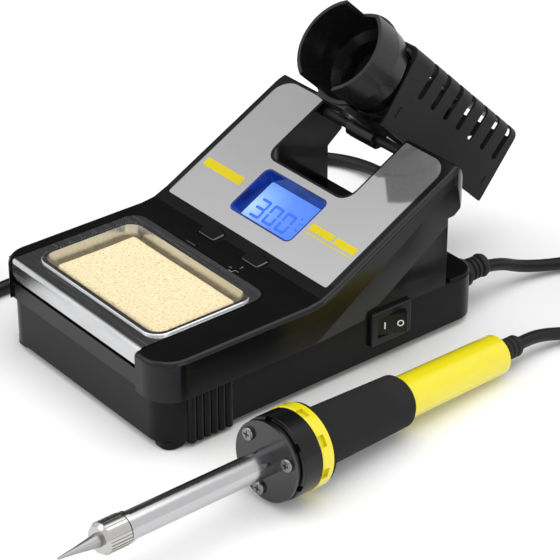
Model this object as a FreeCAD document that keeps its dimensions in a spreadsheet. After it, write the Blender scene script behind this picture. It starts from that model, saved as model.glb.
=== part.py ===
import FreeCAD, Part
import math
import os
import Sketcher
from FreeCAD import Placement, Rotation, Vector

# Digital soldering station: a moulded housing with a sponge tray, a backlit temperature
# display, two keys and a mains switch, a tilting holder on a crossbar between two ears,
# and a pencil iron lying beside it. Millimetres. The station frame has X to the right,
# Y to the rear and Z up, with the housing's front face at Y = 0 and the floor at Z = 0.

DIMENSIONS = [
    # shared
    ("shift_x", -30.44), ("shift_y", -65.61), ("wall", 2.2),
    # housing
    ("body_half", 54.0), ("body_len", 162.4), ("body_r", 10.5), ("base_z", 3.0),
    ("seam_z", 22.9), ("box_top", 23.5), ("box_front", 146.2), ("skirt", 2.2),
    ("skirt_front", 2.4), ("deck_z", 40.4), ("slope_y", 76.0), ("slope_deg", 27.6),
    ("rear_y", 146.0), ("edge_r", 2.0), ("foot_r", 5.6), ("foot_y_front", 42.0),
    ("foot_y_rear", 134.0), ("foot_x", 43.0),
    # notch between the ears
    ("notch_half", 25.0), ("notch_y", 113.6), ("notch_floor", 38.3), ("notch_r", 5.5),
    # front panel and display
    ("panel_half", 51.6), ("panel_from", 5.6), ("panel_to", 77.2), ("panel_thick", 0.9),
    ("window_half", 19.8), ("window_from", 13.2), ("window_to", 37.8), ("lens_depth", 5.0),
    ("glass_thick", 2.0), ("light_thick", 3.0), ("board_thick", 1.6), ("glass_to", 35.8),
    ("light_to", 34.3), ("board_from", 8.4), ("board_to", 33.3),
    # tray and sponge
    ("tray_left", -48.6), ("tray_right", 38.4), ("tray_back", 62.4), ("sheet", 0.6),
    ("basin_left", -41.8), ("basin_right", 35.6), ("basin_front", 9.8), ("basin_back", 55.8),
    ("basin_floor", 31.2), ("lip_drop", 8.2), ("sponge_len", 68.0), ("sponge_wide", 38.5),
    ("sponge_thick", 6.0), ("sponge_x", -38.0), ("sponge_y", 14.5),
    # keys
    ("key_x", 14.2), ("key_y", 75.4), ("key_tilt", 13.0), ("key_half", 5.9), ("key_deep", 7.0),
    # mains switch
    ("bezel_y", 101.6), ("bezel_len", 21.0), ("bezel_z", 9.6), ("bezel_tall", 15.0),
    ("bezel_thick", 1.9), ("rocker_pin", 1.2),
    # holder
    ("tilt", 43.5), ("rim_y", 129.9), ("rim_z", 114.7), ("funnel_r", 20.3),
    ("funnel_wall", 1.5), ("wing_len", 12.5), ("funnel_len", 24.0), ("neck_r", 15.4),
    ("neck_end", 31.0), ("wing_gap", 9.6), ("cage_half", 17.7), ("cage_top", 17.0),
    ("cage_low", 17.4), ("plate", 1.0), ("cage_front", 24.5), ("cage_rear", 106.0),
    ("slot_first", 38.6), ("slot_pitch", 10.1), ("slot_wide", 3.1), ("slot_low", 0.4),
    ("bar_y", 145.2), ("bar_z", 70.4), ("bar_r", 2.2), ("bar_fit", 0.05),
    # iron, measured along its axis from the guard disc's front face
    ("iron_x", 101.0), ("iron_y", 11.0), ("iron_z", 18.25), ("iron_yaw", 4.95),
    ("iron_pitch", 4.23), ("tip_reach", 97.6), ("tip_step", 90.6), ("nut_front", 80.0),
    ("nut_rear", 69.0), ("tip_r", 2.6), ("tip_step_r", 1.15), ("tip_end_r", 0.45),
    ("nut_r", 6.15), ("barrel_r", 5.4), ("barrel_in", 5.0), ("heater_r", 3.1), ("disc_r", 16.0),
    ("disc_thick", 1.2), ("ring_r", 16.5), ("ring_len", 13.2), ("flange_r", 16.9),
    ("grip_from", 19.2), ("grip_to", 70.6), ("grip_r", 11.7),
    ("grip_end_r", 10.6), ("core_r", 8.8), ("core_end_r", 8.5), ("handle_to", 128.6),
    ("relief_to", 140.6),
    # cords
    ("mains_d", 5.8), ("lead_d", 5.4), ("gland_z", 15.8), ("lead_x", 42.5), ("mains_x", -30.0),
    ("coil_r", 31.0), ("coil_turns", 5.0),
]

doc = FreeCAD.newDocument("SolderingStation")
sheet = doc.addObject("Spreadsheet::Sheet", "Sizes")
for row, (alias, number) in enumerate(DIMENSIONS, start=1):
    sheet.set(f"A{row}", alias)
    sheet.set(f"B{row}", str(number))
    sheet.setAlias(f"B{row}", alias)
doc.recompute()


def size(alias):
    """Value of one driving dimension."""
    return float(sheet.get(alias))


SHIFT = Vector(size("shift_x"), size("shift_y"), 0)
STATION = Placement(SHIFT, Rotation())
HOLDER = Placement(SHIFT + Vector(0, size("rim_y"), size("rim_z")),
                   Rotation(Vector(1, 0, 0), -90 - size("tilt")))
IRON = Placement(SHIFT + Vector(size("iron_x"), size("iron_y"), size("iron_z")),
                 Rotation(Vector(0, 0, 1), size("iron_yaw"))
                 * Rotation(Vector(1, 0, 0), -90 - size("iron_pitch")))
nodes = []


# ---------------------------------------------------------------- helpers

def keep(obj, label, placement):
    """Register a finished sub-part under its label, at its place."""
    obj.Label = label
    obj.Placement = placement
    nodes.append(obj)
    return obj


def free_shape(label, shape, placement=STATION):
    """A sub-part whose shape is built with Part's own functions."""
    obj = doc.addObject("Part::Feature", label)
    obj.Shape = shape
    return keep(obj, label, placement.multiply(shape.Placement))


def block(x0, x1, y0, y1, z0, z1):
    return Part.makeBox(x1 - x0, y1 - y0, z1 - z0, Vector(x0, y0, z0))


def rod(radius, length, at, direction=Vector(0, 0, 1)):
    return Part.makeCylinder(radius, length, Vector(*at), Vector(*direction))


def rounded_plan(x0, x1, y0, y1, radii):
    """Closed wire in the XY plane; radii are front-left, front-right, rear-right, rear-left."""
    corners = [(x0, y0), (x1, y0), (x1, y1), (x0, y1)]
    steps = [(1, 0), (0, 1), (-1, 0), (0, -1)]
    edges = []
    for i, (cx, cy) in enumerate(corners):
        r, (sx, sy), (px, py) = radii[i], steps[i], steps[i - 1]
        nx, ny = corners[(i + 1) % 4]
        nr = radii[(i + 1) % 4]
        if r > 0:
            start = Vector(cx - px * r, cy - py * r, 0)
            end = Vector(cx + sx * r, cy + sy * r, 0)
            centre = Vector(cx - px * r + sx * r, cy - py * r + sy * r, 0)
            toward = (Vector(cx, cy, 0) - centre).normalize()
            edges.append(Part.Arc(start, centre + toward * r, end).toShape())
        edges.append(Part.LineSegment(Vector(cx + sx * r, cy + sy * r, 0),
                                      Vector(nx - sx * nr, ny - sy * nr, 0)).toShape())
    return Part.Wire(edges)


def slab(x0, x1, y0, y1, z0, z1, radii):
    """Upright prism on a rounded rectangle."""
    if not hasattr(radii, "__len__"):
        radii = [radii] * 4
    face = Part.Face(rounded_plan(x0, x1, y0, y1, radii))
    face.translate(Vector(0, 0, z0))
    return face.extrude(Vector(0, 0, z1 - z0))


def side_prism(points, x0, x1):
    """Prism along X on a closed (y, z) outline."""
    wire = Part.makePolygon([Vector(x0, y, z) for y, z in points + points[:1]])
    return Part.Face(wire).extrude(Vector(x1 - x0, 0, 0))


def turned(radius_height, axis_at=Vector(0, 0, 0)):
    """Solid of revolution about Z on a closed (radius, height) outline."""
    pts = [Vector(r, 0, z) for r, z in radius_height]
    solid = Part.Face(Part.makePolygon(pts + pts[:1])).revolve(
        Vector(0, 0, 0), Vector(0, 0, 1), 360)
    solid.translate(axis_at)
    return solid


def filleted(shape, radius, wanted):
    """Round the edges whose centre of mass satisfies wanted."""
    edges = [e for e in shape.Edges if wanted(e)]
    return shape.makeFillet(radius, edges)


def origin_plane(body, role):
    return next(f for f in body.Origin.OriginFeatures if f.Role == role)


def bound_outline(body, name, role, points):
    """Closed sketch of straight lines; every corner is bound to a pair of sheet formulas."""
    sketch = body.newObject("Sketcher::SketchObject", name)
    sketch.AttachmentSupport = [(origin_plane(body, role), "")]
    sketch.MapMode = "FlatFace"
    values = [[float(formula_value(f)) for f in pair] for pair in points]
    count = len(values)
    for i in range(count):
        a, b = values[i], values[(i + 1) % count]
        sketch.addGeometry(Part.LineSegment(Vector(a[0], a[1], 0), Vector(b[0], b[1], 0)))
    for i in range(count):
        sketch.addConstraint(Sketcher.Constraint("Coincident", i, 2, (i + 1) % count, 1))
    for i, pair in enumerate(points):
        for kind, axis, formula, value in (("DistanceX", -2, pair[0], values[i][0]),
                                           ("DistanceY", -1, pair[1], values[i][1])):
            if abs(value) < 1e-9:
                sketch.addConstraint(Sketcher.Constraint("PointOnObject", i, 1, axis))
                continue
            index = sketch.addConstraint(Sketcher.Constraint(kind, -1, 1, i, 1, value))
            sketch.setExpression(f"Constraints[{index}]", formula)
    return sketch


def formula_value(formula):
    """Value of a sheet formula, worked out by the sheet itself."""
    sheet.set("D1", "=" + formula.replace("Sizes.", ""))
    doc.recompute()
    return sheet.get("D1")


def turned_body(label, points, placement):
    """PartDesign body turned about its Z axis from a bound sketch of radius and height."""
    body = doc.addObject("PartDesign::Body", label)
    sketch = bound_outline(body, label + "_profile", "XZ_Plane", points)
    turn = body.newObject("PartDesign::Revolution", label + "_turn")
    turn.Profile = sketch
    turn.ReferenceAxis = (sketch, ["V_Axis"])
    turn.Angle = 360
    doc.recompute()
    return keep(body, label, placement)


# ---------------------------------------------------------------- housing

SLOPE = math.tan(math.radians(size("slope_deg")))
SLOPE_UP = Vector(0, math.cos(math.radians(size("slope_deg"))),
                  math.sin(math.radians(size("slope_deg"))))
SLOPE_OUT = Vector(0, -SLOPE_UP.z, SLOPE_UP.y)
PANEL = Placement(SHIFT + Vector(0, size("slope_y"), size("deck_z")),
                  Rotation(Vector(1, 0, 0), size("slope_deg")))
PANEL_LOCAL = Placement(Vector(0, size("slope_y"), size("deck_z")),
                        Rotation(Vector(1, 0, 0), size("slope_deg")))


def slope_z(y):
    """Height of the sloped face at a station depth."""
    return size("deck_z") + (y - size("slope_y")) * SLOPE


def arc_points(centre, radius, start_deg, end_deg, count):
    """Points of an arc in the (y, z) plane."""
    out = []
    for i in range(count + 1):
        a = math.radians(start_deg + (end_deg - start_deg) * i / count)
        out.append((centre[0] + radius * math.cos(a), centre[1] + radius * math.sin(a)))
    return out


def shell_side(inset):
    """Side outline of the upper housing, moved inwards by inset."""
    top = size("deck_z") - inset
    blend = 6.0 / math.cos(math.radians(size("slope_deg")))
    drop = inset / math.cos(math.radians(size("slope_deg")))
    rear_top = 145.4 - inset
    low = size("seam_z") if inset == 0 else size("seam_z") - 5
    outline = [(-size("skirt_front") + inset, low), (-size("skirt_front") + inset, top),
               (size("slope_y") - 6.5, top), (size("slope_y"), top + 0.75),
               (size("slope_y") + blend, slope_z(size("slope_y") + blend) - drop),
               (rear_top, slope_z(rear_top) - drop),
               (rear_top + 1.2, slope_z(rear_top) - drop - 0.2),
               (rear_top + 3.0, slope_z(rear_top) - drop - 2.6),
               (154.4 - inset, 62.4), (153.4 - inset, 60.0), (size("rear_y") - inset, 54.3 + inset),
               (size("rear_y") - inset, low)]
    return outline


def upper_plan(inset, z0, z1):
    """Plan of the upper housing: a lower block and the deeper block of the ears."""
    half = size("body_half") + size("skirt") - inset
    front = -size("skirt_front") + inset
    main = slab(-half, half, front, size("rear_y") - inset, z0, z1,
                [12.5 - inset, 12.5 - inset, 9 - inset, 9 - inset])
    ears = slab(-half, half, 60, 154.6 - inset, 54.2 + inset, z1,
                [0, 0, 12 - inset, 12 - inset])
    return main.fuse(ears)


def side_relief(sign):
    """Wedge that thins the side wall towards the seam behind the front corner."""
    outer = size("body_half") + size("skirt")
    inner = size("body_half") + 0.1
    a = Vector(outer, 72, size("seam_z"))
    b = Vector(outer, 132, 62)
    c = Vector(inner, 100, size("seam_z"))
    out = (b - a).cross(c - a).normalize()
    if out.x < 0:
        out = out * -1
    along = (b - a).normalize()
    across = out.cross(along)
    corners = [a + along * p + across * q for p, q in
               ((-90, -90), (120, -90), (120, 90), (-90, 90), (-90, -90))]
    beyond = Part.Face(Part.makePolygon(corners)).extrude(out * 40)
    wedge = beyond.common(block(inner, outer + 5, 60, 165, 20, 80))
    if sign < 0:
        wedge = wedge.mirror(Vector(0, 0, 0), Vector(1, 0, 0))
    return wedge


def notch_block(grow):
    """The gap between the ears, open upwards and to the rear."""
    half = size("notch_half") + grow
    radius = size("notch_r")
    return slab(-half, half, size("notch_y") - grow, 175, size("notch_floor") - grow, 110,
                [radius, radius, 0, 0])


def key_outline(grow):
    """Shield-shaped key face about its centre, with a bowed rear edge."""
    half, deep = size("key_half") + grow, size("key_deep") / 2 + grow
    front = half - 0.7
    left = Part.LineSegment(Vector(-half, deep - 1.6, 0), Vector(-front, -deep + 1.2, 0))
    corner_l = Part.Arc(Vector(-front, -deep + 1.2, 0), Vector(-front + 0.4, -deep + 0.35, 0),
                        Vector(-front + 1.2, -deep, 0))
    low = Part.LineSegment(Vector(-front + 1.2, -deep, 0), Vector(front - 1.2, -deep, 0))
    corner_r = Part.Arc(Vector(front - 1.2, -deep, 0), Vector(front - 0.4, -deep + 0.35, 0),
                        Vector(front, -deep + 1.2, 0))
    right = Part.LineSegment(Vector(front, -deep + 1.2, 0), Vector(half, deep - 1.6, 0))
    bow = Part.Arc(Vector(half, deep - 1.6, 0), Vector(0, deep, 0), Vector(-half, deep - 1.6, 0))
    return Part.Wire([e.toShape() for e in (left, corner_l, low, corner_r, right, bow)])


def key_place(side):
    """Local frame of a key: Z leaves the housing."""
    return Placement(Vector(side * size("key_x"), size("key_y"), size("deck_z") + 0.55),
                     Rotation(Vector(1, 0, 0), size("key_tilt")))


def key_prism(side, grow, low, high):
    """Prism on a key's outline between two heights of its local frame."""
    face = Part.Face(key_outline(grow))
    face.translate(Vector(0, 0, low))
    prism = face.extrude(Vector(0, 0, high - low))
    prism.Placement = key_place(side)
    return prism


def panel_prism(x0, x1, v0, v1, low, high, radii):
    """Prism on the sloped face: v runs up the slope, height leaves the face."""
    prism = slab(x0, x1, v0, v1, low, high, radii)
    prism.Placement = PANEL_LOCAL
    return prism


def ahead_of_notch():
    """Space in front of the notch's inner wall, which the display parts keep to."""
    return block(-60, 60, 0, size("notch_y") - size("wall") - 0.1, 0, 120)


def panel_outline(grow, low, high):
    """Front panel: rounded at the ears and cut out around the notch."""
    half = size("panel_half") + grow
    plate = panel_prism(-half, half, size("panel_from") - grow, size("panel_to") + grow,
                        low, high, [1.2, 1.2, 8.0, 8.0])
    gap = size("notch_half") + 1.1 - grow
    start = (size("notch_y") - size("slope_y")) / SLOPE_UP.y - 1.2 + grow
    return plate.cut(panel_prism(-gap, gap, start, 110, low - 1, high + 1, [6.4, 6.4, 0, 0]))


def icon_bar(x, y, wide, deep):
    """Raised outline bar of a key's symbol on the deck."""
    return slab(x - wide / 2, x + wide / 2, y - deep / 2, y + deep / 2, size("deck_z") - 0.3,
                size("deck_z") + 0.35, 0.4)


def rounded_top(outer):
    """Round the top's front and side edges, from the front corners up to the ears."""
    side = size("body_half") + size("skirt") - 0.01

    def on_top_rim(edge):
        at = edge.CenterOfMass
        high = at.z > max(size("deck_z"), slope_z(at.y)) - 0.6
        return high and (abs(at.x) > side or at.y < 3)

    return filleted(outer, size("edge_r"), on_top_rim)


def build_upper_housing():
    outer = side_prism(shell_side(0), -60, 60).common(upper_plan(0, 20, 90))
    outer = rounded_top(outer.removeSplitter())
    outer = outer.cut(side_relief(1)).cut(side_relief(-1))
    inner = side_prism(shell_side(size("wall")), -60, 60).common(
        upper_plan(size("wall") + size("skirt"), 15, 90))
    inner = inner.cut(notch_block(size("wall")))
    shell = outer.cut(inner).cut(notch_block(0))
    tray_slot = slab(size("tray_left") - 0.5, size("tray_right") + 0.5, -8,
                     size("tray_back") + 0.5, size("deck_z") - 0.6, 60, [0, 0, 7.2, 7.2])
    basin_hole = slab(size("basin_left") - 1.2, size("basin_right") + 1.2,
                      size("basin_front") - 1.2, size("basin_back") + 1.2, 20, 60, 7.5)
    lip_slot = slab(size("tray_left") - 0.5, size("tray_right") + 0.5, -8, 1.4,
                    size("deck_z") - size("lip_drop") - 1.6, 60, 0)
    front_slot = slab(size("tray_left") - 0.5, size("tray_right") + 0.5, -8, 0,
                      size("seam_z") - 2, 60, 0)
    ledge = block(size("tray_left") - 4, size("tray_right") + 4, 1.4, 3.6,
                  size("seam_z"), size("deck_z") - 0.6)
    shell = shell.fuse(ledge).cut(tray_slot).cut(basin_hole).cut(lip_slot).cut(front_slot)
    for side in (-1, 1):
        shell = shell.cut(key_prism(side, 0.35, -12, 12))
    shell = shell.cut(panel_outline(0.15, -0.6, 6))
    window = panel_prism(-size("window_half") - 1.4, size("window_half") + 1.4,
                         size("window_from") - 1.4, size("window_to") + 1.4, -12, 4, 3)
    shell = shell.cut(window.common(ahead_of_notch()))
    shell = shell.cut(switch_cutout())
    for sign in (-1, 1):
        inside = 26.0 if sign > 0 else -32.5
        shell = shell.cut(rod(size("bar_r") + size("bar_fit"), 6.5,
                              (inside - 1.0 if sign > 0 else inside + 1.0, size("bar_y"),
                               size("bar_z")), (1, 0, 0)))
    for x, y in screw_points():
        top = max(size("deck_z"), slope_z(y - 2.8)) - 1.3
        shell = shell.fuse(rod(2.8, top - size("seam_z") - 0.02, (x, y, size("seam_z") + 0.02)))
        shell = shell.cut(rod(1.25, 8, (x, y, size("seam_z") - 0.1)))
    shell = shell.cut(basin_hole)
    shell = shell.fuse([icon_bar(-14.2, 65.4, 6.6, 1.9), icon_bar(13.6, 65.8, 6.6, 1.7),
                        icon_bar(13.6, 65.8, 1.7, 5.4)])
    return free_shape("upper_housing", shell.removeSplitter())


def switch_cutout():
    y0, y1 = size("bezel_y") + 1.0, size("bezel_y") + size("bezel_len") - 1.0
    z0, z1 = size("bezel_z") + 1.0, size("bezel_z") + size("bezel_tall") - 1.0
    return block(40, 62, y0, y1, z0, z1)


def screw_points():
    return [(-48.6, 22.0), (47.0, 22.0), (-46.0, 118.0), (37.5, 127.0)]


def build_lower_housing():
    half, wall, base = size("body_half"), size("wall"), size("base_z")
    seam, radius = size("seam_z"), size("body_r")
    outer = slab(-half, half, 0, size("body_len"), base, seam, radius)
    box = slab(-half, half, size("box_front"), size("body_len"), 10, size("box_top"),
               [0, 0, radius, radius])
    box = filleted(box, 1.6, lambda e: abs(e.CenterOfMass.z - size("box_top")) < 0.01
                   and e.CenterOfMass.y > size("box_front") + 1)
    outer = outer.cut(slab(-half, half, size("box_front"), size("body_len") + 1, 20.5, 30, 0))
    outer = outer.fuse(box)
    hollow = slab(-half + wall, half - wall, wall, 143.5, base + wall, seam + 5, radius - wall)
    rear = slab(-half + wall, half - wall, 120, size("body_len") - wall, base + wall,
                seam - wall, radius - wall)
    shell = outer.cut(hollow).cut(rear)
    lip_slot = slab(size("tray_left") - 0.5, size("tray_right") + 0.5, -8, 1.4,
                    size("deck_z") - size("lip_drop") - 1.6, 60, 0)
    shell = shell.cut(lip_slot).cut(switch_cutout())
    extras = []
    for sign in (-1, 1):
        for i in range(6):
            rib = rod(2.0, seam - 2.1, (sign * (half - 0.3), 12.6 + 3.5 * i, 1.8))
            extras.append(rib.cut(block(-half + 1, half - 1, 0, 60, -1, 40)))
        x0, x1 = (41.5, 52.6) if sign > 0 else (-52.6, -41.5)
        extras.append(slab(x0, x1, 1.6, 12.5, 0.3, base + 0.5, 4.6))
    shell = shell.fuse(extras)
    for x, y in board_points():
        shell = shell.fuse(rod(3.2, 4.6, (x, y, base + wall - 0.6)))
        shell = shell.cut(rod(1.0, 4.2, (x, y, base + wall - 0.2)))
    for x, y in screw_points():
        shell = shell.fuse(rod(4.2, seam - 3.2 - base - wall + 0.6, (x, y, base + wall - 0.6)))
        shell = shell.cut(rod(1.6, 30, (x, y, 0))).cut(rod(3.1, 6.4, (x, y, 0)))
    for x, y in foot_points():
        shell = shell.cut(rod(2.05, 10, (x, y, 0)))
    for x, radius_hole in ((size("lead_x"), 4.0), (size("mains_x"), 4.3)):
        shell = shell.cut(rod(radius_hole, 10, (x, 155, size("gland_z")), (0, 1, 0)))
        shell = shell.cut(rod(5.1, 5.2, (x, 155, size("gland_z")), (0, 1, 0)))
    return free_shape("lower_housing", shell.removeSplitter())


def board_points():
    return [(-40.0, 68.0), (20.0, 68.0), (-40.0, 128.0), (20.0, 128.0)]


def foot_points():
    x = size("foot_x")
    return [(sx * x, y) for sx in (-1, 1) for y in (size("foot_y_front"), size("foot_y_rear"))]


def build_feet():
    feet = []
    for x, y in foot_points():
        pad = turned([(0, 0), (size("foot_r") - 0.8, 0), (size("foot_r"), 0.8),
                      (size("foot_r"), size("base_z")), (2.0, size("base_z")),
                      (2.0, 6.0), (2.9, 6.2), (1.6, 8.2), (0, 8.2)], Vector(x, y, 0))
        feet.append(pad)
    return free_shape("rubber_feet", Part.makeCompound(feet))


def build_housing_screws():
    screws = []
    for x, y in screw_points():
        head = rod(2.9, 1.9, (x, y, 4.5))
        cross = block(x - 1.6, x + 1.6, y - 0.3, y + 0.3, 4.0, 5.3).fuse(
            block(x - 0.3, x + 0.3, y - 1.6, y + 1.6, 4.0, 5.3))
        shank = rod(1.25, 20.5, (x, y, 6.3))
        screws.append(head.cut(cross).fuse(shank).removeSplitter())
    return free_shape("housing_screws", Part.makeCompound(screws))


def build_front_panel():
    plate = panel_outline(0, -0.6, -0.6 + size("panel_thick"))
    window = panel_prism(-size("window_half"), size("window_half"), size("window_from"),
                         size("window_to"), -5, 5, 3.2)
    return free_shape("front_panel", plate.cut(window))


def build_display_frame():
    """Blue light guide: a tapered rim from the panel's face down to the glass."""
    top, depth = size("panel_thick") - 0.75, size("lens_depth")
    wx, v0, v1 = size("window_half") - 0.15, size("window_from") + 0.15, size("window_to") - 0.15
    outer = panel_prism(-wx, wx, v0, v1, -0.65, top, 3.0)
    body = panel_prism(-wx - 1.1, wx + 1.1, v0 - 1.1, v1 + 1.1, -depth - 2.6, -0.65, 2.5)
    high = rounded_plan(-wx + 0.7, wx - 0.7, v0 + 0.7, v1 - 0.7, [2.4] * 4)
    low = rounded_plan(-wx + 2.6, wx - 2.6, v0 + 2.4, v1 - 2.4, [0.9] * 4)
    high.translate(Vector(0, 0, top + 0.01))
    low.translate(Vector(0, 0, -depth))
    well = Part.makeLoft([low, high], True)
    well.Placement = PANEL_LOCAL
    seat = panel_prism(-wx + 1.4, wx - 1.4, v0 + 1.2, v1 - 1.2, -depth - 3, -depth, 0.5)
    frame = outer.fuse(body).common(ahead_of_notch()).cut(well).cut(seat)
    return free_shape("display_frame", frame.removeSplitter())


def build_display_stack():
    """Glass, backlight and board behind the display frame, in the panel's frame."""
    wx, v0 = size("window_half") - 1.7, size("window_from") + 1.5
    back = -size("lens_depth") - 0.05
    for label, thick, top in (("lcd_glass", "glass_thick", "glass_to"),
                              ("lcd_backlight", "light_thick", "light_to")):
        plate = doc.addObject("Part::Box", label)
        plate.setExpression("Length", "2 * (Sizes.window_half - 1.7)")
        plate.setExpression("Width", f"Sizes.{top} - Sizes.window_from - 1.5")
        plate.setExpression("Height", f"Sizes.{thick}")
        back -= size(thick)
        keep(plate, label, PANEL.multiply(Placement(Vector(-wx, v0, back), Rotation())))
    board = doc.addObject("Part::Box", "display_board")
    board.Length = 46.0
    board.setExpression("Width", "Sizes.board_to - Sizes.board_from")
    board.setExpression("Height", "Sizes.board_thick")
    back -= size("board_thick") + 0.05
    keep(board, "display_board",
         PANEL.multiply(Placement(Vector(-23, size("board_from"), back), Rotation())))


# ---------------------------------------------------------------- tray, sponge, keys, switch

def build_sponge_tray():
    """Pressed steel tray: flat rim, beaded basin and a lip folded down at the front."""
    sheet_t, deck = size("sheet"), size("deck_z")
    x0, x1, back = size("tray_left"), size("tray_right"), size("tray_back")
    bx0, bx1 = size("basin_left"), size("basin_right")
    by0, by1 = size("basin_front"), size("basin_back")
    low = deck - 0.3
    rim = slab(x0, x1, 2.2, back, low, low + sheet_t, [0, 0, 6.8, 6.8])
    bead_out = slab(bx0 - 2.0, bx1 + 2.0, by0 - 2.0, by1 + 2.0, low, low + 1.5, 7.4)
    bead_out = filleted(bead_out, 0.7, lambda e: abs(e.CenterOfMass.z - low - 1.5) < 0.01)
    rim = rim.fuse(bead_out)
    floor = size("basin_floor")
    top_in = rounded_plan(bx0, bx1, by0, by1, [6.2] * 4)
    low_in = rounded_plan(bx0 + 1.8, bx1 - 1.8, by0 + 1.8, by1 - 1.8, [5.0] * 4)
    top_in.translate(Vector(0, 0, low + 1.6))
    low_in.translate(Vector(0, 0, floor + sheet_t))
    well = Part.makeLoft([low_in, top_in], True)
    top_out = rounded_plan(bx0 - sheet_t, bx1 + sheet_t, by0 - sheet_t, by1 + sheet_t, [6.8] * 4)
    low_out = rounded_plan(bx0 + 1.2, bx1 - 1.2, by0 + 1.2, by1 - 1.2, [5.6] * 4)
    top_out.translate(Vector(0, 0, low + 0.5))
    low_out.translate(Vector(0, 0, floor))
    cup = Part.makeLoft([low_out, top_out], True)
    bend_out, bend_in = 2.1, 1.5
    bend = []
    for radius, order in ((bend_out, 1), (bend_in, -1)):
        arc = arc_points((0.1 + bend_out, low + sheet_t - bend_out), radius, 90, 180, 6)
        bend += arc[::order]
    drop = deck - size("lip_drop")
    fold = side_prism(bend, x0, x1)
    lip = block(x0, x1, 0.1, 0.7, drop, low + sheet_t - bend_out)
    lip = filleted(lip, 4.2, lambda e: abs(e.CenterOfMass.z - drop) < 0.01
                   and abs(e.tangentAt(e.FirstParameter).y) > 0.9)
    tray = rim.fuse([cup, fold, lip]).cut(well)
    return free_shape("sponge_tray", tray.removeSplitter())


def build_sponge():
    body = doc.addObject("PartDesign::Body", "cleaning_sponge")
    outline = bound_outline(body, "sponge_outline", "XY_Plane", [
        ("0", "0"), ("Sizes.sponge_len", "0"), ("Sizes.sponge_len", "Sizes.sponge_wide"),
        ("0", "Sizes.sponge_wide")])
    pad = body.newObject("PartDesign::Pad", "sponge_pad")
    pad.Profile = outline
    pad.setExpression("Length", "Sizes.sponge_thick")
    doc.recompute()
    corners = [f"Edge{i + 1}" for i, e in enumerate(pad.Shape.Edges)
               if abs(e.tangentAt(e.FirstParameter).z) > 0.9]
    rounding = body.newObject("PartDesign::Fillet", "sponge_corners")
    rounding.Base = (pad, corners)
    rounding.Radius = 2.0
    doc.recompute()
    floor = size("basin_floor") + size("sheet") + 0.3
    return keep(body, "cleaning_sponge", Placement(
        SHIFT + Vector(size("sponge_x"), size("sponge_y"), floor), Rotation()))


def build_keys():
    for label, side in (("minus_key", -1), ("plus_key", 1)):
        cap = key_prism(side, 0, -3.4, 1.1)
        cap = filleted(cap, 0.5, lambda e: key_height(e.CenterOfMass, side) > 1.05)
        flange = key_prism(side, 1.2, -4.4, -3.4)
        stem = rod(1.6, 1.6, (0, 0, -6.0))
        stem.Placement = key_place(side)
        free_shape(label, cap.fuse([flange, stem]).removeSplitter())


def key_height(point, side):
    return key_place(side).inverse().multVec(point).z


def build_key_board():
    """Small board with two tact switches below the keys."""
    place = key_place(0)
    board = block(-24, 24, -6.5, 5.5, -13.0, -11.4)
    board.Placement = place
    switches = []
    for side in (-1, 1):
        x = side * size("key_x")
        case = block(x - 3, x + 3, -3, 3, -11.4, -8.0)
        knob = rod(1.7, 0.55, (x, 0, -8.0))
        switch = case.fuse(knob)
        switch.Placement = place
        switches.append(switch)
    free_shape("key_board", board)
    free_shape("tact_switches", Part.makeCompound(switches))


def build_switch():
    y0, y1 = size("bezel_y"), size("bezel_y") + size("bezel_len")
    z0, z1 = size("bezel_z"), size("bezel_z") + size("bezel_tall")
    face = size("body_half") + 0.1
    bezel = block(face, face + size("bezel_thick"), y0, y1, z0, z1)
    bezel = filleted(bezel, 0.6, lambda e: e.CenterOfMass.x > face + size("bezel_thick") - 0.01)
    case = block(39.5, face, y0 + 1.3, y1 - 1.3, z0 + 1.3, z1 - 1.3)
    well = block(42.0, face + 5, y0 + 3.1, y1 - 3.1, z0 + 2.9, z1 - 2.9)
    tabs = [block(32.0, 39.5, y - 0.4, y + 0.4, (z0 + z1) / 2 - 2.4, (z0 + z1) / 2 + 2.4)
            for y in (y0 + 5.0, (y0 + y1) / 2, y1 - 5.0)]
    pin = rocker_axis()
    body = bezel.fuse(case).cut(well)
    body = body.cut(rod(size("rocker_pin") + 0.05, size("bezel_tall") - 3.4,
                        (pin.x, pin.y, z0 + 1.7)))
    free_shape("switch_body", body.removeSplitter())
    free_shape("switch_terminals", Part.makeCompound(tabs))


def rocker_axis():
    return Vector(size("body_half"), size("bezel_y") + size("bezel_len") / 2, 0)


def build_rocker():
    """Rocker with two flat faces meeting over its pivot; the front half is pressed in."""
    z0, z1 = size("bezel_z") + 3.2, size("bezel_z") + size("bezel_tall") - 3.2
    axis = rocker_axis()
    outline = [(-6.9, -0.6), (-6.8, 0.3), (0.3, 2.7), (5.7, 5.2), (6.2, 4.2), (6.5, -1.5),
               (2.4, -4.6), (-2.4, -4.6)]
    pts = [Vector(axis.x + out, axis.y + along, z0) for along, out in outline]
    rocker = Part.Face(Part.makePolygon(pts + pts[:1])).extrude(Vector(0, 0, z1 - z0))
    rocker = filleted(rocker, 0.4, lambda e: abs(e.tangentAt(e.FirstParameter).z) > 0.9
                      and e.CenterOfMass.x > axis.x + 4)
    pin = rod(size("rocker_pin"), size("bezel_tall") - 3.8, (axis.x, axis.y,
                                                             size("bezel_z") + 1.9))
    free_shape("switch_rocker", rocker.fuse(pin).removeSplitter())


# ---------------------------------------------------------------- holder

def holder_box(x0, x1, top, low, s0, s1):
    """Box in the holder's frame: heights are measured up from its axis."""
    return Part.makeBox(x1 - x0, top - low, s1 - s0, Vector(x0, -top, s0))


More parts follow.
